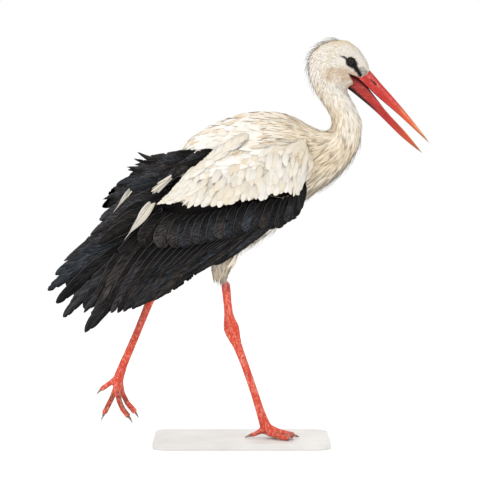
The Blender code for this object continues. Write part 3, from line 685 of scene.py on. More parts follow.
def wing_plates(points, normals, source, faces, owner):
    """1 on the outer side of the covert plates, 2 on the side that faces the body, else 0."""
    plate = np.array([name.startswith("wing") for name in SKIN_NODES])
    tree = search_tree(source, faces)
    sides = np.zeros(len(points))
    for i, (point, normal) in enumerate(zip(points, normals)):
        if plate[owner[tree.find_nearest(Vector(point))[2]]]:
            sides[i] = 1 if point[1] * normal[1] > 0 else 2
    return sides


def bare_mask(points):
    """1 on the bare legs and feet, 0 under plumage."""
    x, y, z = points.T
    left = (1 - smoothstep(352, 364, z + 0.55 * (x + 118))) * (x < -95)
    right = (1 - smoothstep(328, 340, z)) * (x > -75)
    legs = np.where(z < LEGS_BARE, 1.0, np.where(y > 4, left, right))
    return legs * ((y > 4) | (y < 0)) * (1 - near_tail(points))


def near_tail(points):
    """1 on the tail, which hangs close to the lifted leg."""
    x, y, z = points.T
    return ((x < -160) & (np.abs(y) < 34) & (z - (489 + (x + 163) * 0.85) > -62)).astype(float)


def joined_nodes(names, swell):
    """Points, faces and node number of each face of several nodes, swollen to close gaps."""
    points, faces, owner = np.empty((0, 3)), [], []
    for number, name in enumerate(names):
        mesh = bpy.data.objects[name].data
        outwards = mesh_values(mesh.vertex_normals, "vector") * swell
        faces += [tuple(v + len(points) for v in face.vertices) for face in mesh.polygons]
        owner += [number] * len(mesh.polygons)
        points = np.concatenate([points, mesh_values(mesh.vertices, "co") + outwards])
    return points, faces, np.array(owner)


def remeshed(points, faces):
    """One even shell over all the faces, without inner shells."""
    mesh = bpy.data.meshes.new("skin_source")
    mesh.from_pydata([tuple(p) for p in points], [], faces)
    source = bpy.data.objects.new("skin_source", mesh)
    bpy.context.scene.collection.objects.link(source)
    modifier = source.modifiers.new("remesh", "REMESH")
    modifier.mode = "VOXEL"
    modifier.voxel_size = SKIN_VOXEL
    graph = bpy.context.evaluated_depsgraph_get()
    shell = bpy.data.meshes.new_from_object(source.evaluated_get(graph))
    bpy.data.objects.remove(source, do_unlink=True)
    verts = mesh_values(shell.vertices, "co")
    quads = mesh_values(shell.loops, "vertex_index", 1, np.int32).reshape(-1, 4)
    group = np.arange(len(shell.vertices))
    while True:
        low = group[quads].min(axis=1)
        fresh = group.copy()
        np.minimum.at(fresh, quads.ravel(), np.repeat(low, 4))
        fresh = fresh[fresh]
        if (fresh == group).all():
            break
        group = fresh
    main = np.bincount(group).argmax()
    kept = group == main
    renumber = np.cumsum(kept) - 1
    return verts[kept], renumber[quads[kept[quads[:, 0]]]].astype(np.int32)


def quad_edges(quads):
    """Each edge of a quad mesh once."""
    pairs = np.concatenate([quads[:, [k, (k + 1) % 4]] for k in range(4)])
    return np.unique(np.sort(pairs, axis=1), axis=0)


def quad_cross(points, quads):
    """Cross product of the diagonals of each quad."""
    return np.cross(points[quads[:, 2]] - points[quads[:, 0]],
                    points[quads[:, 3]] - points[quads[:, 1]])


def quad_normals(points, quads):
    """Unit normals of the points of a quad mesh."""
    cross = quad_cross(points, quads)
    normals = np.zeros_like(points)
    for corner in range(4):
        np.add.at(normals, quads[:, corner], cross)
    return unit(normals)


def build_skin():
    """One skin over the whole bird, under the plumage and bare on the legs."""
    source, faces, owner = joined_nodes(SKIN_NODES, SKIN_SWELL * MM)
    points, quads = remeshed(source, faces)
    edges = quad_edges(quads)
    bare = bare_mask(to_mm(points))
    points = relax(points, edges, 10, 0.55 - 0.30 * bare)
    normals = quad_normals(points, quads)
    plate = wing_plates(points, normals, source, faces, owner)
    depth = coat_depth(to_mm(points), bare, plate) + SKIN_SWELL - BARE_REGAIN * bare
    points = points - normals * (depth * MM)[:, None]
    past = smoothstep(7.0, -1.0, inside_line(to_mm(points), COVERT_AREA)) * (plate > 0)
    points[:, 1] -= np.sign(points[:, 1]) * past * PLATE_SINK * MM
    points = relax(points, edges, 3, 0.4 - 0.3 * bare)
    mouth = smoothstep(-1.5, 1.5, inside_line(to_mm(points), MOUTH_EDGE))
    narrow = np.clip(points[:, 1], -MOUTH_HALF * MM, MOUTH_HALF * MM)
    points[:, 1] = points[:, 1] * (1 - mouth) + narrow * mouth
    tree = search_tree(source, faces)
    nearest = [tree.find_nearest(Vector(p))[2] for p in points[quads].mean(axis=1)]
    tint = skin_colours(to_mm(points), bare, plate)
    obj = quad_mesh("skin", points, quads, MATERIALS["skin"], tint)
    add_attribute(obj.data, "Bare", bare)
    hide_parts(*SKIN_NODES)
    unwrap(obj)
    return obj, owner[nearest]


def skin_colours(points, bare, plate):
    """Markings and painted shade of the skin, the same as those of the plumage, with painted shade
    at the top of the bare legs.
    """
    x, y, z = points.T
    tint = plumage_tint(points, body_place(points)[0]) * 0.80
    hem = smoothstep(7.0, 3.0, inside_line(points, COVERT_AREA)) * (z < 548) * (z > 430)
    hem = hem * (np.abs(y) > 38)
    rear = smoothstep(-1.0, 2.0, inside_line(points, BLACK_AREA)) * (np.abs(y) > 30)
    tint = blend(tint, FACE_BLACK, np.maximum(hem, rear * (plate > 0)))
    # Painted shade at the top of the bare legs, under the thigh feathers.
    thigh_shade = np.maximum(smoothstep(300, 342, z) * (x > -60), smoothstep(316, 350, z) * (x < -90))
    red = blend(LEG_RED, LEG_SHADE, thigh_shade * 0.85)
    toes = np.where(x > -60, 1 - smoothstep(26, 40, z), 1 - smoothstep(96, 118, z))
    toes = toes * smoothstep(0.35, 0.7, noise(points, 9.0))
    tint = blend(tint, blend(red, TOE_BROWN, toes * 0.75), bare)
    return blend(tint, MOUTH_RED, smoothstep(-0.5, 1.5, inside_line(points, MOUTH_EDGE)))


def unwrap(obj):
    """Unwrap of the skin's own shape."""
    obj.data.uv_layers.new(name="OFBake")
    bpy.ops.object.select_all(action="DESELECT")
    obj.select_set(True)
    bpy.context.view_layer.objects.active = obj
    bpy.ops.object.mode_set(mode="EDIT")
    bpy.ops.mesh.select_all(action="SELECT")
    bpy.ops.uv.smart_project(angle_limit=math.radians(72), island_margin=0.002)
    bpy.ops.object.mode_set(mode="OBJECT")


LEAN_IN = 0.45                # slope of a tuft where the skin turns away under it
SHARP_TURN = 0.55             # cosine between normals past which a tuft leaves the skin
TRIES = 5.0                   # places tried for each one that fits
CLOSEST = 0.86                # least distance of two roots, as a share of the spacing


class SkinMap:
    """Nearest places on the skin and their spots on its unwrap."""

    def __init__(self, obj):
        mesh = obj.data
        verts = mesh_values(mesh.vertices, "co")
        quads = mesh_values(mesh.loops, "vertex_index", 1, np.int32).reshape(-1, 4)
        self.uv = mesh_values(mesh.uv_layers["OFBake"].data, "uv", 2)[::4]
        self.centres = verts[quads].mean(axis=1)
        normals = mesh_values(mesh.vertex_normals, "vector")
        self.face_normals = unit(normals[quads].mean(axis=1))
        self.areas = np.linalg.norm(quad_cross(verts, quads), axis=1) / 2
        self.tree = search_tree(verts, quads.tolist())

    def walk(self, roots, flows, lengths, steps, heights):
        """Paths over the skin, their normals and how far each tip stands off the skin."""
        count = len(roots)
        gaps = np.zeros(count)
        path = np.zeros((count, steps, 3))
        facing = np.zeros((count, steps, 3))
        for i in range(count):
            place = Vector(roots[i])
            heading = Vector(flows[i])
            step = lengths[i] / (steps - 1)
            normal = None
            for k in range(steps):
                spot, _, face, _ = self.tree.find_nearest(place)
                fresh = Vector(self.face_normals[face])
                lean = LEAN_IN
                if normal is None:
                    normal, place, lean = fresh, spot, 0.0
                elif fresh.dot(normal) > SHARP_TURN and (spot - place).length < step * 0.8:
                    normal, place, lean = (normal + fresh * 1.5).normalized(), spot, 0.0
                heading = (heading - normal * heading.dot(normal)).normalized()
                path[i, k] = place + normal * heights[i, k]
                facing[i, k] = normal
                place = place + (heading - normal * lean) * step
            gaps[i] = self.tree.find_nearest(Vector(path[i, -1]))[3]
        return path, facing, gaps


def scatter(skin, spacing, keep, seed):
    """Faces of the skin chosen so that roots lie about one spacing apart."""
    rng = np.random.default_rng(seed)
    space = spacing * MM
    weight = skin.areas / space ** 2 * keep
    total = int(weight.sum() * TRIES)
    chosen = rng.choice(len(weight), size=total, p=weight / weight.sum())
    taken = {}
    picked = []
    cell = float(space[keep > 0].min())
    for face in chosen:
        p = skin.centres[face]
        r = space[face] * CLOSEST
        key = tuple((p / cell).astype(int))
        span = int(r / cell) + 1
        cells = itertools.product(*(range(k - span, k + span + 1) for k in key))
        near = itertools.chain.from_iterable(taken.get(k, ()) for k in cells)
        if all((p[0] - q[0]) ** 2 + (p[1] - q[1]) ** 2 + (p[2] - q[2]) ** 2 >= r * r
               for q in near):
            taken.setdefault(key, []).append(p)
            picked.append(face)
    return np.array(picked)


BLADE_CREASE = 75
TUFT_THICK = 0.35             # in mm
ROOT_HEIGHT, TIP_RISE = -1.2, 1.5    # roots start in the skin, in mm
TUFT_PATCH = 0.003            # size of a tuft's patch on the unwrap of the skin
STANDS_OFF = 7.0              # how far a tip may end above its own lift, in mm
SIDEWAYS = 0.45               # largest share of its length that a tuft runs sideways
ROUND = ((0.0, 0.45), (0.22, 0.76), (0.44, 0.95), (0.64, 1.0), (0.81, 0.87), (0.93, 0.60),
         (1.0, 0.22))
LANCE = ((0.0, 0.55), (0.28, 1.0), (0.58, 0.80), (0.84, 0.42), (1.0, 0.05))
SHORT = ((0.0, 0.60), (0.45, 1.0), (1.0, 0.18))


def tufts(name, skin, faces, flows, lengths, widths, lifts, profile, tint, camber=0.12,
          dark=0.0, root=0.72, ink=0.0, within=None):
    """Closed tapered vanes that lie along the skin."""
    share, wide = np.array(profile).T
    steps = len(share)
    heights = (lifts[:, None] * share ** 1.2 + (ROOT_HEIGHT + TIP_RISE * share)) * MM
    path, facing, gaps = skin.walk(skin.centres[faces], flows, lengths * MM, steps, heights)
    kept = np.abs(path[:, -1, 1] - path[:, 0, 1]) < SIDEWAYS * lengths * MM
    kept &= gaps < (lifts * 1.5 + STANDS_OFF) * MM
    if within is not None:
        kept &= inside_line(to_mm(path[:, -1]), within) > 0
    path, facing, tint, faces = path[kept], facing[kept], tint[kept], faces[kept]
    side = unit(np.cross(facing, np.gradient(path, axis=1)))
    half = (widths[kept][:, None] * wide / 2 * MM)[..., None]
    top = path + facing * half * camber
    deep = facing * (TUFT_THICK * MM) * (1.05 - 0.6 * share[:, None])
    rings = np.stack([path - side * half, top, path + side * half, top - deep], axis=2)
    count = len(faces)
    across = np.tile(np.array((-1.0, 0.0, 1.0, 0.0)), (count, steps, 1))
    along = np.broadcast_to(share[:, None], across.shape)
    chance = np.broadcast_to(RNG.random((count, 1, 1)), across.shape)
    vane = np.stack([across, along, chance], axis=-1)
    # Painted shade: each tuft is darker at its root, where it lies under its neighbours (root is
    # that darkest share), and a little darker at its sides.
    shade = (root + (1 - root) * smoothstep(0.0, 0.55, along)) * (1.0 - 0.06 * np.abs(across))
    colour = tint[:, None, None, :] * shade[..., None]
    if dark > 0:
        inked = (RNG.random((count, 1, 1)) < dark) * smoothstep(0.45, 1.0, along)
        colour = colour * (1 - 0.62 * inked[..., None])
    if ink > 0:
        colour = colour * (1 - ink * smoothstep(0.25, 0.75, along)[..., None])
    patch = np.stack([across * TUFT_PATCH / 2, (along - 0.5) * TUFT_PATCH], axis=-1)
    uvs = (skin.uv[faces][:, None, None, :] + patch).reshape(-1, 2)
    quad_mesh(name, rings, tube_quads(steps, 4, count)[:, ::-1], MATERIALS["white"],
              colour, vane, uvs, crease=BLADE_CREASE)


MATERIALS = {
    "white": white_feathers("feather_white"),
    "black": black_feathers("feather_black"),
    "skin": skin_material(),
    "bill": bill_material(),
    "claw": claw_material(),
    "eye": eye_material(),
    "lid": lid_material(),
    "board": board_material(),
    "floor": floor_material(),
}


# ---- feathers of the body ---------------------------------------------------------------
COVER_NODES = ("wing_right_quills", "wing_left_quills", "bill_upper", "bill_lower")
HEAD_END = 8.6                # number of the section where the head ends
HEAD_CLEAR, BODY_CLEAR = 2.2, 26.0    # room over the skin that feathers need, in mm


def exposed_faces(skin, number):
    """Faces of the skin that aren't under the wings, the bill or another fold."""
    points, faces, _ = joined_nodes(COVER_NODES, 0.0)
    cover = search_tree(points, faces)
    out = np.ones(len(skin.centres), dtype=bool)
    for face in range(len(out)):
        normal = Vector(skin.face_normals[face])
        start = Vector(skin.centres[face]) + normal * (0.8 * MM)
        reach = (HEAD_CLEAR if number[face] < HEAD_END else BODY_CLEAR) * MM
        if cover.ray_cast(start, normal, reach)[0] or skin.tree.ray_cast(start, normal, reach)[0]:
            out[face] = False
    return out


def covert_flow(points):
    """Lie of the wing coverts for points in mm."""
    x, z = points[:, 0], points[:, 2]
    degrees = np.interp(x, (-170, -60, 40, 150), (222, 240, 256, 266))
    top = np.interp(x, (-160, -114, -32, 70, 137), (492, 547, 596, 616, 628))
    high = 1 - smoothstep(12, 75, top - z)
    angle = np.radians(degrees + (212 - degrees) * high * 0.8)
    return np.column_stack([np.cos(angle), np.zeros(len(x)), np.sin(angle)])


# Areas in side view that feather tips keep to or keep off, in mm.
EVERYWHERE = ((-900, -900), (900, -900), (900, 1800), (-900, 1800))
NOWHERE = ((-901, -901), (-900, -901), (-900, -900))
COVERT_ENDS = ((-38, 589), (-54, 581), (-70, 570), (-87, 559), (-103, 549), (-117, 538),
               (-130, 523), (-146, 504), (-164, 491), (-142, 493), (-121, 498), (-105, 485),
               (-81, 489), (-48, 486), (-24, 490), (-7, 499), (17, 497), (42, 502), (58, 504),
               (68, 516), (84, 512), (104, 517), (116, 508), (124, 512), (131, 530))
COVERT_AREA = COVERT_ENDS + ((180, 550), (180, 720), (-44, 720))
BLACK_AREA = COVERT_ENDS[8::-1] + ((-88, 592), (-98, 598), (-112, 608), (-160, 640),
                                   (-420, 600), (-420, 250), (-200, 300))
THIGH_AREA = ((-80, 345), (-60, 333), (-46, 320), (-24, 317), (-12, 334), (20, 380),
              (60, 560), (-160, 560))
# Lie of the plumage on parts whose feathers don't follow the body's lines.
PART_FLOW = {"thigh_right": (-0.22, 0.0, -0.97), "thigh_left": (-0.80, 0.0, -0.60),
             "tail": (-0.78, 0.0, -0.62)}


class Coat:
    """Where each kind of feather grows on the skin and how it lies."""

    def __init__(self, obj, owner):
        self.skin = SkinMap(obj)
        self.mm = to_mm(self.skin.centres)
        self.number, self.share, flow = body_place(self.mm)
        self.names = np.array(SKIN_NODES)[owner]
        self.flow = np.column_stack([flow[:, 0], np.zeros(len(flow)), flow[:, 1]])
        for name, lie in PART_FLOW.items():
            self.flow[self.names == name] = lie
        wings = np.char.startswith(self.names, "wing")
        self.flow[wings] = covert_flow(self.mm[wings])
        self.eye = np.hypot(self.mm[:, 0] - EYE_X, self.mm[:, 2] - EYE_Z)
        head = self.names == "head"
        self.face = face_mask(self.mm) * head
        ahead = face_mask(self.mm + self.flow * 5.0) * head
        self.open = exposed_faces(self.skin, self.number) & (bare_mask(self.mm) <= 0.5)
        self.open &= (self.face < 0.30) & (ahead < 0.55) & ~((self.eye < 9.6) & head)
        self.open &= inside_line(self.mm, MOUTH_EDGE) < -0.8

    def grow(self, name, mask, spacing, length, width, lift, profile, seed, **more):
        """Tufts over the masked faces. Sizes in mm are one for all or one for each face."""
        mask = mask & self.open
        spacing, length, width, lift = (np.broadcast_to(np.asarray(v, dtype=float), mask.shape)
                                        for v in (spacing, length, width, lift))
        tips = self.mm + self.flow * length[:, None]
        area = more.get("within", EVERYWHERE)
        mask &= (inside_line(tips, area) > 2.0) & (inside_line(self.mm, area) > 5.0)
        mask &= inside_line(tips, more.pop("clear_of", NOWHERE)) < 0.0
        gain = more.pop("gain", 1.0)
        picked = scatter(self.skin, spacing, mask.astype(float), seed)
        rng = np.random.default_rng(seed + 50)
        count = len(picked)
        vary = rng.uniform(0.82, 1.18, (3, count))
        flow = self.flow[picked] + rng.normal(0, more.pop("stray", 0.07), (count, 3))
        tint = plumage_tint(self.mm[picked], self.number[picked])
        tint = tint * rng.uniform(0.90, 1.05, (count, 1)) * gain
        spread = more.pop("streak", 0.0)
        if spread:
            warm = (rng.random(count) < spread) * rng.uniform(0.3, 0.9, count)
            tint = blend(tint, (TAN + CREAM) / 2, warm * (1 - self.face[picked]))
        tufts(name, self.skin, picked, flow, length[picked] * vary[0], width[picked] * vary[1],
              lift[picked] * vary[2] ** 3, profile, tint, **more)


def body_feathers(coat):
    """All small feathers: spacing, length, width and lift in mm, profile and seed of each."""
    n, share, mm, names = coat.number, coat.share, coat.mm, coat.names
    x, y, z = mm.T
    head, upper, trunk, tail = (names == name for name in ("head", "neck_upper", "trunk", "tail"))
    wings, thighs = (np.char.startswith(names, name) for name in ("wing", "thigh"))
    fore = 1 - smoothstep(2.0, 6.0, n)
    near = np.maximum(fore, 1 - smoothstep(10, 24, coat.eye))
    nape = smoothstep(4.5, 8.0, n) * smoothstep(0.5, 0.95, share)
    coat.grow("feathers_head", head, 2.7 - 0.8 * near + 0.8 * nape,
              14 - 6.5 * near + 9 * nape, 3.2 - 1.0 * near + 0.6 * nape,
              0.9 - 0.4 * near + 1.8 * nape, SHORT, 11, streak=0.12, dark=0.015, root=0.88)
    lores = head & (lore_mask(mm) > 0.3)
    coat.grow("feathers_lores", lores, 2.2, 7.0, 0.9, 1.6, LANCE, 21, dark=1.0)
    wisps = (n > 3.2) & (n < 11.5) & (share > 0.94) & (head | upper)
    coat.grow("feathers_nape_wisps", wisps, 3.6, 22, 1.7, 6.5, LANCE, 19, ink=0.85)
    wisps = (n > 12.5) & (n < 19.5) & (share < 0.10)
    coat.grow("feathers_chest_wisps", wisps, 5.6, 40, 2.2, 6.5, LANCE, 20, ink=0.75)
    wisps = trunk & (x > 15) & (x < 125) & (share < 0.13)
    coat.grow("feathers_belly_wisps", wisps, 7.0, 46, 5.0, 11.0, LANCE, 22, streak=0.5,
              ink=0.35)
    coat.grow("feathers_neck_upper", upper, 4.2, 28, 6.4, 1.3 + 1.4 * (share > 0.8), LANCE, 12,
              streak=0.20, dark=0.08, root=0.84)
    lower = (names == "neck_lower") | (trunk & (n < 19.5) & (share < 0.9))
    ruff = smoothstep(14, 19, n) * (1 - smoothstep(0.3, 0.8, share))
    coat.grow("feathers_neck_lower", lower, 5.2 + 1.6 * ruff, 40 + 20 * ruff, 7.8 + 1.4 * ruff,
              1.7 + 3.0 * ruff, LANCE, 13, streak=0.32, dark=0.14, root=0.76)
    trunk = trunk & ~lower
    belly = 1 - smoothstep(0.1, 0.4, share)
    over = inside_line(mm + coat.flow * 44.0, BLACK_AREA) > -2.0
    middle = np.abs(y) < 26
    under = (np.abs(y) > 44) & (x < 40) & (np.abs(z - 500) < 60)
    coat.grow("feathers_trunk", trunk & (~over | middle) & ~under, 8.4 - 0.5 * belly,
              42 + 8 * belly - 12 * over, 17 - 6 * belly, 2.2 + 3.6 * belly, ROUND, 14,
              streak=0.25, root=0.84, camber=0.07)
    border = (trunk & ~middle | wings) & over & (x < 10)
    border &= z > np.interp(x, (-120, -44, 20), (590, 592, 612))
    coat.grow("feathers_scapular", border, 5.4, 24, 8.0, 2.6, LANCE, 24, streak=0.25,
              root=0.84, clear_of=BLACK_AREA)
    # The thigh tufts are painted darker as shade under the body (gain and a stronger root shade);
    # streak and dark make more of them tan or dark-tipped.
    for (side, sign), seed in zip(SIDES.items(), (15, 23)):
        coat.grow("feathers_thigh_" + side, thighs & (y * sign > 0), 4.4, 30, 5.6, 2.4, LANCE,
                  seed, streak=0.7, dark=0.30, root=0.6, gain=0.66,
                  within=THIGH_AREA if sign < 0 else EVERYWHERE)
    coat.grow("feathers_rump", tail & (x > -240) & ~under, 9.0, 36, 13, 1.5, ROUND, 16)
    low = 1 - smoothstep(520, 590, z - 0.15 * x)
    for (side, sign), seed in zip(SIDES.items(), (17, 18)):
        coat.grow("coverts_small_" + side, wings & (y * sign > 0), 8.4 + 1.5 * low,
                  30 + 6 * low, 15 + 2 * low, 1.5, ROUND, seed, streak=0.34, root=0.80,
                  camber=0.06, gain=0.89, within=COVERT_AREA)


# ---- large feathers of wings and tail --------------------------------------------------
BLACK_ROWS = 40
WHITE_ROWS = 26
VANE_COLUMNS = np.array((-1.0, -0.55, -0.10, 0.10, 0.55, 1.0))
SPLITS = 0.07                 # share of the places on a rim where barbs have parted
BARB_SWEEP = 0.35             # how far barbs lean to the tip, per mm from the shaft
RIM_THICK, MORE_THICK = 0.30, 0.60    # thickness at the rim, and what the shaft adds


def along_line(points, count, inset=0.0):
    """Points read evenly by number along a line of named points."""
    table = np.array(points, dtype=float)
    at = np.linspace(inset, len(table) - 1 - inset, count)
    return np.column_stack([np.interp(at, np.arange(len(table)), table[:, c])
                            for c in range(table.shape[1])])


def vanes(name, place, feathers, tints, kind, seed, tilt=1.2, camber=1.0, ragged=0.05,
          rows=BLACK_ROWS, root_shade=0.62, under=0.0):
    """Closed feather vanes on a sheet, each with its own outline, lift and curve."""
    rng = np.random.default_rng(seed)
    roots, tips, widths, low, high, bends, points = (np.array(c, dtype=float)
                                                     for c in zip(*feathers))
    count, columns = len(roots), len(VANE_COLUMNS)
    s = 1 - (1 - np.linspace(0, 1, rows)) ** 1.4
    line = tips - roots
    length = np.linalg.norm(line, axis=1)
    ahead = line / length[:, None]
    side = np.column_stack([ahead[:, 1], -ahead[:, 0]])
    bow = np.sin(np.pi * s) * bends[:, None] + s ** 3 * bends[:, None] * -0.4
    round_from = 1 - np.clip(widths / length * 0.62, 0.06, 0.6)[:, None]
    blunt = np.sqrt(np.clip(1 - ((s - round_from) / (1 - round_from)).clip(0, 1) ** 2, 0, 1))
    sharp = 1 - ((s - 0.42) / 0.58).clip(0, 1) ** 1.7
    outline = blunt * (1 - points[:, None]) + sharp * points[:, None]
    outline = np.maximum(outline * (0.5 + 0.5 * smoothstep(-0.05, 0.25, s)), 0.03)[..., None]
    u = VANE_COLUMNS
    reach = u * outline * widths[:, None, None] / 2
    rim = np.abs(u) > 0.9
    wear = 1 - ragged * rng.random((count, rows, columns)) * rim
    split = (rng.random((count, rows, columns)) < SPLITS) * rim * (s[:, None] > 0.4)
    reach = reach * wear * (1 - rng.uniform(0.1, 0.5, (count, rows, columns)) * split)
    centre = roots[:, None] + line[:, None] * s[:, None] + side[:, None] * bow[..., None]
    flat = centre[:, :, None] + side[:, None, None] * reach[..., None]
    sweep = np.abs(reach) * BARB_SWEEP * (1 - s[:, None] ** 4)
    flat = flat + ahead[:, None, None] * sweep[..., None]
    rise = low[:, None] + (high - low)[:, None] * smoothstep(0, 0.45, s)
    top = rise[..., None] + tilt * u * outline + camber * (1 - u ** 2)
    thick = RIM_THICK + MORE_THICK * (1 - np.abs(u)) * (1 - 0.6 * s[:, None])
    upper = place(flat[..., 0], flat[..., 1], top)
    lower = place(flat[..., 0], flat[..., 1], top - thick)
    rings = world(np.concatenate([upper, lower[:, :, ::-1]], axis=2))
    across = np.broadcast_to(np.concatenate([u, u[::-1]]), (count, rows, 2 * columns))
    along = np.broadcast_to(s[:, None], across.shape)
    chance = np.broadcast_to(rng.random((count, 1, 1)) * 40, across.shape)
    # Painted shade: each vane is darker at its root, where its neighbours cover it, and on the
    # side tucked under the next feather (under); its rims are a little darker too.
    shade = root_shade + (1 - root_shade) * smoothstep(0.1, 0.75, along)
    shade = shade * (1 - 0.14 * (np.abs(across) > 0.9))
    shade = shade * (1 - under * (1 - smoothstep(-1.0, 0.35, across)))
    turn = -1 if place(np.array(0.0), np.array(500.0), np.array(1.0))[..., 1] < 0 else 1
    return quad_mesh(name, rings, tube_quads(rows, 2 * columns, count)[:, ::turn],
                     MATERIALS[kind],
                     tints[:, None, None, :] * shade[..., None],
                     np.stack([across, along, chance], axis=-1),
                     corner_uvs=vane_corners(count, rows)[:, ::turn], crease=BLADE_CREASE)


def vane_corners(count, rows):
    """Corner places of every vane on its own cell of the map."""
    cells = int(math.ceil(math.sqrt(count)))
    sides = 2 * len(VANE_COLUMNS)
    places = []
    for k, j in itertools.product(range(rows - 1), range(sides)):
        a, b = j / sides, (j + 1) / sides
        low, high = k / (rows - 1), (k + 1) / (rows - 1)
        places.append(((a, low), (b, low), (b, high), (a, high)))
    for end in (0.0, 1.0):
        places += [((0.0, end),) * 4] * (sides // 2 - 1)
    number = np.arange(count)
    cell = np.column_stack([number % cells, number // cells])[:, None, None, :]
    return ((cell + np.array(places) * 0.9 + 0.05) * (1.0 / cells)).reshape(-1, 4, 2)


def wing_sheet(sign):
    """Sheet in side view that lies on one closed wing."""
    def place(x, z, height):
        y = np.maximum(wing_outer(x, z) + height, 0.8)
        return np.stack(np.broadcast_arrays(x, sign * y, z), axis=-1)
    return place


# Feathers in side view from front to back: x and z of the root, x and z of the tip.
GREATER = ((132, 540, 130, 496), (130, 530, 120, 473), (124, 522, 107, 460), (112, 512, 92, 449),
           (96, 507, 73, 444), (72, 504, 48, 441), (44, 500, 22, 438), (12, 494, -6, 430),
           (-20, 486, -36, 423), (-42, 480, -64, 417), (-63, 475, -86, 412),
           (-86, 472, -108, 408), (-108, 473, -140, 405), (-142, 476, -198, 408))
SECOND = ((125, 522, 38, 426), (106, 500, 8, 400), (88, 480, -38, 378), (66, 462, -77, 357),
          (42, 447, -112, 348), (9, 436, -145, 328), (-20, 429, -168, 302),
          (-48, 425, -190, 288), (-77, 423, -208, 282), (-106, 423, -227, 276),
          (-134, 425, -248, 270), (-159, 433, -272, 272), (-179, 448, -288, 308))
REAR = ((-84, 598, -196, 576), (-96, 588, -212, 570), (-108, 574, -225, 560),
        (-120, 560, -247, 531), (-132, 542, -275, 501), (-143, 522, -283, 458),
        (-150, 506, -303, 430), (-156, 492, -327, 402), (-162, 476, -357, 378),
        (-168, 460, -374, 350), (-172, 448, -390, 318), (-172, 436, -371, 290),
        (-170, 426, -358, 263), (-166, 420, -314, 230))
# Rows of black feathers from the deepest up: line, number, widths, lift of the root and of
# the tip (each with its change to the rear), sag, bluntness, jitter, shortening and inset.
BLACK_FEATHERS = (
    (REAR[3:], 16, (46, 52, 50), (-14, 0), (-11, -2), (4, 4, 4), 0.5, 2.0, 0.15, 0.0),
    (SECOND, 15, (14, 42, 54), (-14, 0), (-11, 0), (-3, 0, 5), 0.5, 2.0, 0.07, 0.0),
    (REAR[6:], 7, (28, 30, 28), (-10, 0), (-7.5, -2), (6, 7, 6), 0.8, 2.0, 0.12, 0.5),
    (REAR[6:], 8, (29, 30, 28), (-9, -1), (-5.5, -2.5), (6, 8, 7), 0.85, 1.0, 0.0, 0.0),
    (SECOND, 24, (13, 25, 34), (-7.5, 0), (-5.0, 3.2), (-3, -1, 6), 0.7, 1.2, 0.0, 0.0),
    (REAR[:7], 6, (22, 26, 28), (-6, -2), (-2.0, -1.0), (-5, 2, 5), 0.8, 2.0, 0.16, 0.5),
    (REAR[:7], 7, (20, 26, 28), (-4, -3), (1.0, -1.5), (-6, 1, 6), 0.9, 1.0, 0.0, 0.0),
    (REAR[1:9], 8, (24, 30, 30), (-3, -1), (2.0, 0.5), (0, 3, 5), 0.6, 5.0, 0.36, 0.0),
    (REAR[9:], 5, (31, 35, 29), (-9, 0), (-6.0, -2), (6, 8, 8), 0.6, 1.0, 0.0, 0.0),
    (REAR[3:6], 4, (26, 34, 30), (-8, 0), (-4.0, -2), (3, 5, 5), 0.6, 1.0, 0.0, 0.0),
)
TOP_FEATHERS = (GREATER, 22, (15, 28, 38), (-5.5, -0.5), (-0.5, 2.0), (-2, 0, 4), 0.08, 1.6,
                0.0, 0.0)
TERTIALS = 9
# A single feather of the lower edge: root, tip, width, lifts, sag and bluntness.
EDGE_FEATHER = ((-150, 418), (-303, 237), 30, -9, -5, 3, 0.6)
# Tertials whose tips turn up: root, tip, width and sag.
UPTURNED = (((-54, 590), (-142, 566), 15, -4), ((-92, 598), (-178, 588), 20, -5),
            ((-112, 590), (-205, 592), 17, -13),
            ((-118, 584), (-212, 580), 15, -9), ((-120, 577), (-226, 564), 16, -7),
            ((-108, 582), (-192, 577), 19, -6))
# Pale feathers among the black: root, tip, width at root, middle and tip, lift, bluntness.
WHITE_STRAYS = (((-124, 556), (-182, 508), (3, 8, 15), 2.6, 0.45),
                ((-166, 504), (-233, 415), (5, 17, 6), 4.2, 0.9),
                ((-208, 534), (-258, 468), (2, 8, 1), 3.4, 0.9))
STRAY_BLADES = 11
# Layers of white coverts: number, distance from the edge, length, width and lift.
WHITE_LAYERS = ((44, 0, 44, 17, 1.2), (38, 11, 40, 17, 1.8), (34, 23, 38, 17, 2.2),
                (30, 35, 34, 17, 2.5), (27, 47, 32, 16, 2.7))
WHITE_SINK = -2.0             # height of their roots over the sheet of the wing


TAIL_START, TAIL_END = (-176.0, 452.0), (-314.0, 357.0)
TAIL_FEATHERS = 12


def black_tints(rng, count):
    """Charcoal with a blue, brown or plain cast."""
    pick = rng.random((count, 1))
    base = np.where(pick < 0.22, BLUE_BLACK, np.where(pick < 0.45, BROWN_BLACK, BLACK))
    return base * rng.uniform(0.55, 2.3, (count, 1)) ** 1.2


def feather_row(rng, line, count, width, start, end, bend, point, jitter, shorten, inset):
    """Root, tip, width, lifts, sag and bluntness of each feather in one row."""
    feathers = []
    for i, place in enumerate(along_line(line, count, inset)):
        t = i / (count - 1)
        root = place[:2]
        tip = place[2:] + rng.normal(0, jitter, 2)
        feathers.append((root, tip + (root - tip) * shorten, np.interp(t, (0, 0.5, 1), width),
                         start[0] + start[1] * t, end[0] + end[1] * t,
                         np.interp(t, (0, 0.5, 1), bend), point))
    return feathers


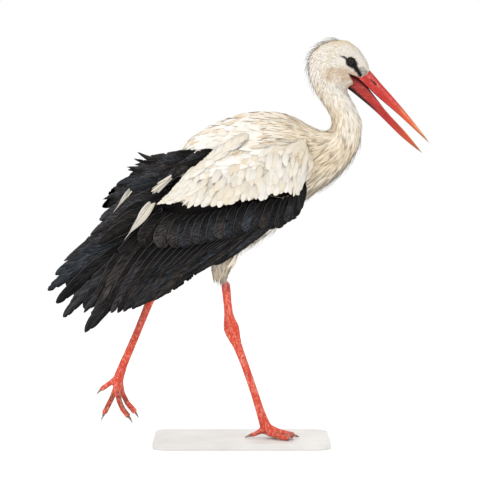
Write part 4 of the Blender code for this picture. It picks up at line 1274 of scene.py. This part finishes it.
def flight_group(side, sign):
    """All black feathers of one wing."""
    rng = np.random.default_rng(31)
    feathers = []
    for row in BLACK_FEATHERS:
        feathers += feather_row(rng, *row)
    feathers += [(root, tip, width, -3, 1.5, bend, 0.9) for root, tip, width, bend in UPTURNED]
    feathers += feather_row(rng, *TOP_FEATHERS)
    for t in np.linspace(0.0, 1.0, TERTIALS):
        tip = np.array((-108 - 52 * t, 580 - 58 * t)) + rng.normal(0, 4, 2)
        feathers.append(((-45 - 62 * t, 600 - 30 * t), tip, 20, -5, 0.6, 2, 0.5))
    feathers.append(EDGE_FEATHER)
    # root_shade and under set the painted shade at each feather's root and on its tucked side.
    obj = vanes("flight_feathers_" + side, wing_sheet(sign), feathers,
                black_tints(rng, len(feathers)), "black", 32, tilt=1.7, camber=1.3, ragged=0.06,
                root_shade=0.10, under=0.70)
    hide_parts(f"wing_{side}_quills")


def white_group(side, sign):
    """Ordered white coverts at the wing's scalloped edge and the pale strays behind it."""
    rng = np.random.default_rng(41)
    feathers = []
    for count, back, length, width, lift in WHITE_LAYERS:
        line = along_line(COVERT_ENDS, count)
        flow = covert_flow(np.column_stack([line[:, 0], np.zeros(count), line[:, 1]]))
        flow = flow[:, [0, 2]] + rng.normal(0, 0.07, (count, 2))
        tip = line - flow * (back + rng.normal(0, 2.0 + 0.05 * back, (count, 1)))
        root = tip - flow * length * rng.uniform(0.85, 1.15, (count, 1))
        narrow = np.interp(line[:, 0], (-110, -70, 90, 135), (0.72, 1.0, 1.0, 0.55))
        widths = width * narrow * rng.uniform(0.8, 1.15, count)
        high = lift + rng.normal(0, 0.3, count)
        bends = rng.normal(0, 1.5, count)
        points = np.clip(rng.uniform(0.1, 0.7, count) + 1.1 * (1 - narrow), 0, 0.95)
        feathers += zip(root, tip, widths, np.full(count, WHITE_SINK), high, bends, points)
    for root, tip, spread, lift, point in WHITE_STRAYS:
        root, tip = np.array(root, dtype=float), np.array(tip, dtype=float)
        run = tip - root
        across = np.array((run[1], -run[0])) / np.linalg.norm(run)
        for k in range(STRAY_BLADES):
            aside = k / (STRAY_BLADES - 1) - 0.5
            back = 0.55 * abs(aside) ** 1.2 + rng.uniform(0.0, 0.22)
            feathers.append((root + across * spread[0] * aside,
                             tip - run * back + across * spread[2] * aside,
                             0.17 * max(spread) + 1.2, WHITE_SINK, lift + 0.25 * k,
                             (spread[1] - (spread[0] + spread[2]) / 2) * aside, point))
    count = len(feathers)
    place = np.array([(tip[0], 40.0, tip[1]) for _, tip, *_ in feathers])
    tint = plumage_tint(place, np.full(count, 22.0)) * rng.uniform(0.88, 1.04, (count, 1))
    tint = blend(tint, CREAM, rng.uniform(0, 0.6, count)) * 0.90
    strays = STRAY_BLADES * len(WHITE_STRAYS)
    tint[-strays:] *= rng.uniform(0.38, 1.12, (strays, 1))
    vanes("coverts_large_" + side, wing_sheet(sign), feathers, tint, "white", 42, tilt=0.2,
          camber=0.35, ragged=0.12, rows=WHITE_ROWS, root_shade=0.85)


def tail_group():
    """White tail feathers between the wings."""
    start = np.array(TAIL_START)
    run = np.array(TAIL_END) - start
    length = np.linalg.norm(run)
    ahead = run / length
    up = np.array((ahead[1], -ahead[0]))

    def place(along, across, height):
        x = start[0] + ahead[0] * along + up[0] * height
        z = start[1] + ahead[1] * along + up[1] * height
        return np.stack(np.broadcast_arrays(x, across, z), axis=-1)

    fan = np.linspace(-1, 1, TAIL_FEATHERS)
    feathers = [((-6.0, f * 12), (length - 8 * f ** 2, f * 9), 16.0, 5 - 6 * abs(f),
                 3 - 5 * abs(f), f * 2, 0.05) for f in fan]
    rng = np.random.default_rng(51)
    vanes("tail_feathers", place, feathers, WHITE * rng.uniform(0.84, 0.98, (TAIL_FEATHERS, 1)),
          "white", 52, tilt=0.0, rows=WHITE_ROWS, root_shade=0.8)


def solid_piece(name, points, quads, kind, tint=None, vane=None, node=None):
    """Closed piece that faces outwards, with its own unwrap, in place of one CAD node."""
    p = points.reshape(-1, 3) - points.reshape(-1, 3).mean(axis=0)
    a, b, c, d = (p[quads[:, k]] for k in range(4))
    volume = np.einsum("ij,ij->", a, np.cross(b, c)) + np.einsum("ij,ij->", a, np.cross(c, d))
    turn = 1 if volume > 0 else -1
    obj = quad_mesh(name, world(points), quads[:, ::turn], MATERIALS[kind], tint, vane)
    if node:
        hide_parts(node)
    unwrap(obj)


# ---- bill ---------------------------------------------------------------------------------
UPPER_BILL = ((250, 776, 225, 758, 14), (262, 770, 236, 753.5, 13),
              (274, 759.5, 247, 746, 12), (294, 736, 268, 727, 9.6),
              (318, 709, 292, 705, 8), (350, 671, 333, 670, 5.5), (395, 614, 391, 616, 1.6))
LOWER_BILL = ((226, 758, 218, 732, 11), (246, 747, 231, 722.5, 11),
              (264, 731, 243, 712.5, 10.5), (287, 702.5, 272, 688.7, 9.2),
              (306, 678, 295, 667.5, 7.6), (343.5, 637.5, 335, 628.5, 5),
              (378, 595.5, 375.5, 595.5, 1.4))
BILL_RINGS = 110
BILL_SIDES = 64
BILL_OUTER = 0.70 * np.pi
BILL_WIDEST = 0.62
NOSTRIL = ((272.5, 744), (282.5, 735))
NOSTRIL_DEPTH = 2.2


def smooth_rows(rows, count):
    """Catmull-Rom rows between the named ones."""
    table = np.array(rows, dtype=float)
    table = np.vstack([2 * table[0] - table[1], table, 2 * table[-1] - table[-2]])
    at = np.linspace(0, len(rows) - 1, count)
    low = np.minimum(at.astype(int), len(rows) - 2)
    t = (at - low)[:, None]
    a, b, c, d = (table[low + k] for k in range(4))
    return 0.5 * (2 * b + (c - a) * t + (2 * a - 5 * b + 4 * c - d) * t ** 2
                  + (3 * b - 3 * c + d - a) * t ** 3)


def bill_section(keel, edge, half, along, upper):
    """Ring of a half bill: round outer side, cutting edges and the mouth's lining."""
    turn = np.pi - 2 * np.pi * (np.arange(BILL_SIDES) + 0.5) / BILL_SIDES
    far = np.abs(turn)[None]
    t = np.clip(far / BILL_OUTER, 0, 1)
    rising = np.clip(t / BILL_WIDEST, 0, 1) * np.pi / 2
    falling = np.clip((t - BILL_WIDEST) / (1 - BILL_WIDEST), 0, 1)
    rim = 1.0 if upper else 0.12 + 0.88 * smoothstep(0.10, 0.78, along)
    rise = 1 - smoothstep(0.45, 0.85, t) * (1 if upper else 0)
    reach = keel * np.cos(rising) - edge * rim * falling
    across = half * np.sin(rising) ** 0.92 * (1 - 0.12 * falling ** 2)
    across = across * (1 - 0.35 * rise * (1 - smoothstep(0.05, 0.22, along)))
    inner = np.clip((far - BILL_OUTER) / (np.pi - BILL_OUTER), 0, 1)
    bow = np.sin(inner * np.pi / 2)
    inward = 0.4 * (keel + edge) * (1 - smoothstep(0.7, 1.0, along)) if upper else edge * (rim - 1)
    reach = np.where(inner > 0, -edge * rim + inward * bow, reach)
    across = np.where(inner > 0, half * 0.88 * np.cos(inner * np.pi / 2), across)
    return reach, across * np.sign(turn), np.broadcast_to(inner, reach.shape), t


def bill_half(name, rows, widest, upper):
    """One half of the bill with its ridge, cutting edge, nostril, markings and painted highlights.
    """
    rows = smooth_rows(rows, BILL_RINGS)
    along = np.linspace(0, 1, BILL_RINGS)
    dorsal, ventral = rows[:, :2], rows[:, 2:4]
    depth = dorsal - ventral
    span = np.linalg.norm(depth, axis=1)
    up = depth / span[:, None]
    grow = 0.6 * (1 - smoothstep(0.10, 0.34, along))
    centre = dorsal - depth * widest
    tip = (np.clip((1 - along) / 0.035, 0.05, 1) ** 0.5)[:, None]
    above, below = (span * widest + grow) * tip[:, 0], (span * (1 - widest) + grow) * tip[:, 0]
    keel, edge = (above, below) if upper else (below, above)
    half = np.maximum(rows[:, 4] * 0.98 + grow, 0.4)[:, None] * tip
    reach, across, groove, outer = bill_section(keel[:, None], edge[:, None], half,
                                                along[:, None], upper)
    reach = reach if upper else -reach
    points = np.stack([centre[:, :1] + up[:, :1] * reach, across,
                       centre[:, 1:] + up[:, 1:] * reach], axis=-1)
    tint = bill_tint(points, along, groove, outer, upper)
    if upper:
        dent = 1 - smoothstep(1.1, 2.2, line_distance(points, *NOSTRIL))
        points[..., 1] -= np.sign(points[..., 1]) * dent * NOSTRIL_DEPTH
        tint = tint * (1 - 0.93 * dent[..., None])
    angle = np.linspace(0, 2 * np.pi, BILL_SIDES)
    vane = np.stack(np.broadcast_arrays(np.sin(angle), along[:, None], 3.0 if upper else 8.0),
                    axis=-1)
    solid_piece(name, points, tube_quads(BILL_RINGS, BILL_SIDES), "bill", tint,
                vane, "bill_upper" if upper else "bill_lower")


# How the bill's red changes at the tip, and the painted highlights along the upper half's ridge
# and the lower half's rim.
HORN_SHIFT = np.array((-0.45, 0.3, 0.4))
RIDGE_HIGHLIGHT = np.array((0.30, 2.6, 2.8))
RIM_HIGHLIGHT = np.array((0.7, 4.5, 5.0))
MOUTH_TINT = np.array((0.40, 0.30, 0.45))


def bill_tint(points, along, groove, outer, upper):
    """Darker base, dark mouth, the black patch under the lower half's base, and painted highlights
    along the ridge and the lower rim.
    """
    shape = points.shape[:2]
    flat = points.reshape(-1, 3)
    base = 1 - smoothstep(0.12, 0.5, along)
    gain = (1.0 if upper else 0.80) * (1 - (0.18 if upper else 0.30) * base)
    tint = np.ones((*shape, 3)) * gain[:, None, None]
    horn = smoothstep(0.86, 0.99, along)[:, None, None]
    tint = tint * (1 + horn * HORN_SHIFT)
    cloud = smoothstep(0.35, 0.70, noise(flat, 6.0)).reshape(shape)
    rim = smoothstep(0.86, 0.97, outer) * (groove <= 0)
    if upper:
        # Painted highlight: a paler, patchy band along the upper half's ridge.
        ridge_highlight = np.exp(-((outer - 0.34) / 0.10) ** 2) * (0.35 + 0.65 * cloud)
        tint = tint * (1 + ridge_highlight[..., None] * RIDGE_HIGHLIGHT)
        tint = tint * (1 - (rim * 0.55)[..., None])
    else:
        # Painted highlight: a pale pink line along the lower half's rim.
        tint = tint * (1 + rim[..., None] * RIM_HIGHLIGHT)
    tint = np.where((groove > 0)[..., None], MOUTH_TINT * gain[:, None, None], tint)
    if upper:
        return tint
    x, z = flat[:, 0], flat[:, 2]
    over_keel = z - (722 - (x - 233) * 0.885) + (noise(flat, 4.0) - 0.5) * 4
    patch = (1 - smoothstep(4.5, 8.5, over_keel)) * (1 - smoothstep(272, 290, x))
    return tint * (1 - 0.95 * patch.reshape(shape)[..., None])


# ---- eyes -------------------------------------------------------------------------------------
EYE_RINGS, EYE_SIDES = 26, 36
LID_STEPS, LID_SIDES = 72, 8
LID_PROBE = 13.5              # distance from the eye at which the face is sampled
LID_LIFT = -0.3
LIDS = ((8.9, 0.9, 1.0, 1.0), (10.7, 0.8, 0.4, 1.1))    # radius, width, height, corner gain
EYE_CORNERS = ((3.6, 5.45, 0.30), (3.0, 2.55, 0.26))    # size, direction and spread


def make_eye(skin, side, sign):
    """Eyeball with iris and pupil, and its lids."""
    polar = np.linspace(0.02, 0.98, EYE_RINGS) * np.pi
    turn = 2 * np.pi * np.arange(EYE_SIDES) / EYE_SIDES
    radius = np.sin(polar)[:, None] * np.ones(EYE_SIDES)
    points = np.stack([EYE_X + EYE_R * radius * np.cos(turn),
                       sign * (EYE_Y + EYE_R * np.cos(polar))[:, None] * np.ones(EYE_SIDES),
                       EYE_Z + EYE_R * radius * np.sin(turn)], axis=-1)
    front = np.where(np.cos(polar)[:, None] > 0, radius, 1.0)
    solid_piece("eyeball_" + side, points, tube_quads(EYE_RINGS, EYE_SIDES), "eye",
                np.ones_like(points), np.stack([front, radius, radius], axis=-1), "eye_" + side)
    make_lids(skin, side, sign)


def make_lids(skin, side, sign):
    """Lid rim and a fold round it, as closed rings on the plane of the face."""
    found = []
    for angle in np.linspace(0, 2 * np.pi, 24, endpoint=False):
        x, z = LID_PROBE * math.cos(angle), LID_PROBE * math.sin(angle)
        start = Vector(world((EYE_X + x, sign * 60, EYE_Z + z)))
        hit = skin.tree.ray_cast(start, Vector((0, -sign, 0)))[0]
        found.append((1.0, x, z, hit.y / MM * sign))
    found = np.array(found)
    plane = np.linalg.lstsq(found[:, :3], found[:, 3], rcond=None)[0]
    phi = np.linspace(0, 2 * np.pi, LID_STEPS, endpoint=False)[:, None]
    turn = 2 * np.pi * np.arange(LID_SIDES) / LID_SIDES
    corner = sum(size * np.exp(-(((phi - at) / width) ** 2)) for size, at, width in EYE_CORNERS)
    at = np.arange(LID_STEPS * LID_SIDES).reshape(LID_STEPS, LID_SIDES)
    ahead, aside = np.roll(at, -1, axis=0), np.roll(at, -1, axis=1)
    quads = np.stack([at, aside, np.roll(aside, -1, axis=0), ahead], axis=-1).reshape(-1, 4)
    for number, (radius, wide, tall, gain) in enumerate(LIDS):
        reach = radius + corner * gain + wide * np.cos(turn)
        x, z = reach * np.cos(phi), reach * np.sin(phi)
        y = plane[0] + plane[1] * x + plane[2] * z + LID_LIFT + tall * np.sin(turn)
        points = np.stack([EYE_X + x, sign * y, EYE_Z + z], axis=-1)
        solid_piece(f"lid_{side}_{number}", points, quads, "lid",
                    np.ones_like(points))


# ---- the rest --------------------------------------------------------------------------------
def make_claw(node):
    """Curved horn claw over one claw node, rooted in the toe."""
    points = to_mm([v.co for v in frame["nodes"][node].data.vertices])
    centre = points.mean(axis=0)
    axis = np.linalg.svd(points - centre)[2][0]
    along = (points - centre) @ axis
    ends = []
    for sign in (-1, 1):
        near = points[sign * along > CLAW_END * (sign * along).max()]
        ends.append((np.linalg.norm(near - near.mean(axis=0), axis=1).mean(), near.mean(axis=0)))
    ends.sort(key=lambda end: -end[0])
    base, tip = ends[0][1], ends[1][1]
    middle = points[np.abs(along) < 0.3 * np.abs(along).max()].mean(axis=0)
    base = base - unit(middle - base) * CLAW_ROOT
    t = np.linspace(0, 1, CLAW_RINGS)[:, None]
    path = (1 - t) ** 2 * base + 2 * t * (1 - t) * (2 * middle - (base + tip) / 2) + t ** 2 * tip
    ahead = unit(np.gradient(path, axis=0))
    side = unit(np.cross(ahead, np.array((0.15, 0.2, 1.0))))
    up = np.cross(side, ahead)
    radius = (CLAW_BASE_RADIUS + (CLAW_TIP_RADIUS - CLAW_BASE_RADIUS) * t ** 1.5)[:, :, None]
    turn = 2 * np.pi * np.arange(CLAW_SIDES)[:, None] / CLAW_SIDES
    ring = side[:, None] * np.cos(turn) * 0.8 + up[:, None] * np.sin(turn)
    points = path[:, None] + ring * radius
    points[..., 2] = np.maximum(points[..., 2], BASE_HIGH[2] / MM + 0.2)
    solid_piece("horn_" + node, points, tube_quads(CLAW_RINGS, CLAW_SIDES), "claw",
                node=node)


def finish_nodes():
    """Claws and the painted base."""
    for name in frame["nodes"]:
        if name.startswith("claw"):
            make_claw(name)
    board = frame["nodes"]["stand_base"].data.materials
    board.clear()
    board.append(MATERIALS["board"])


def area_light(name, place, size, power, target=(0.0, 0.0, 0.45)):
    """Large soft lamp aimed at the bird."""
    data = bpy.data.lights.new(name, "AREA")
    data.shape = "SQUARE"
    data.size = size
    data.energy = power
    obj = bpy.data.objects.new(name, data)
    obj.location = place
    obj.rotation_euler = (Vector(target) - Vector(place)).to_track_quat("-Z", "Y").to_euler()
    bpy.context.scene.collection.objects.link(obj)


# The stage is in metres, apart from the place that the camera looks at.
FLOOR_HALF, FLOOR_Z = 30.0, -0.0005
CAMERA_AIM = (5, 0, 417)
CAMERA_FAR, CAMERA_TILT, CAMERA_LENS = 5.0, 3.0, 183.0
# Soft lamps: name, place, size and power.
LAMPS = (("key", (-1.4, -2.2, 2.8), 0.7, 42.0), ("fill", (2.6, -2.0, 1.5), 1.6, 8.0),
         ("back", (0.6, 2.6, 2.4), 1.4, 12.0))


def make_stage():
    """Pale floor, soft lights and the camera."""
    mesh = bpy.data.meshes.new("floor")
    corners = [(x * FLOOR_HALF, y * FLOOR_HALF, FLOOR_Z)
               for x, y in ((-1, -1), (1, -1), (1, 1), (-1, 1))]
    mesh.from_pydata(corners, [], [(0, 1, 2, 3)])
    floor = bpy.data.objects.new("floor", mesh)
    floor.data.materials.append(MATERIALS["floor"])
    bpy.context.scene.collection.objects.link(floor)
    world_data = bpy.data.worlds.new("studio")
    world_data.use_nodes = True
    back = world_data.node_tree.nodes["Background"]
    back.inputs["Color"].default_value = (1.0, 1.0, 1.0, 1.0)
    back.inputs["Strength"].default_value = 1.0
    bpy.context.scene.world = world_data
    bpy.context.scene.view_settings.view_transform = "Standard"
    for lamp in LAMPS:
        area_light(*lamp)
    camera = bpy.data.cameras.new("camera")
    camera.lens = CAMERA_LENS
    camera.sensor_width = 36.0
    camera.dof.use_dof = False
    camera.clip_end = 100.0
    obj = bpy.data.objects.new("camera", camera)
    aim = Vector(world(CAMERA_AIM))
    tilt = math.radians(CAMERA_TILT)
    obj.location = aim + Vector((0, -CAMERA_FAR * math.cos(tilt), CAMERA_FAR * math.sin(tilt)))
    obj.rotation_euler = (aim - obj.location).to_track_quat("-Z", "Y").to_euler()
    bpy.context.scene.collection.objects.link(obj)
    bpy.context.scene.camera = obj


def main():
    """Builds the whole model over its frame."""
    skin_obj, owner = build_skin()
    coat = Coat(skin_obj, owner)
    body_feathers(coat)
    for side, sign in SIDES.items():
        flight_group(side, sign)
        white_group(side, sign)
        make_eye(coat.skin, side, sign)
    tail_group()
    bill_half("upper_bill", UPPER_BILL, 0.78, True)
    bill_half("lower_bill", LOWER_BILL, 0.30, False)
    finish_nodes()
    make_stage()


main()
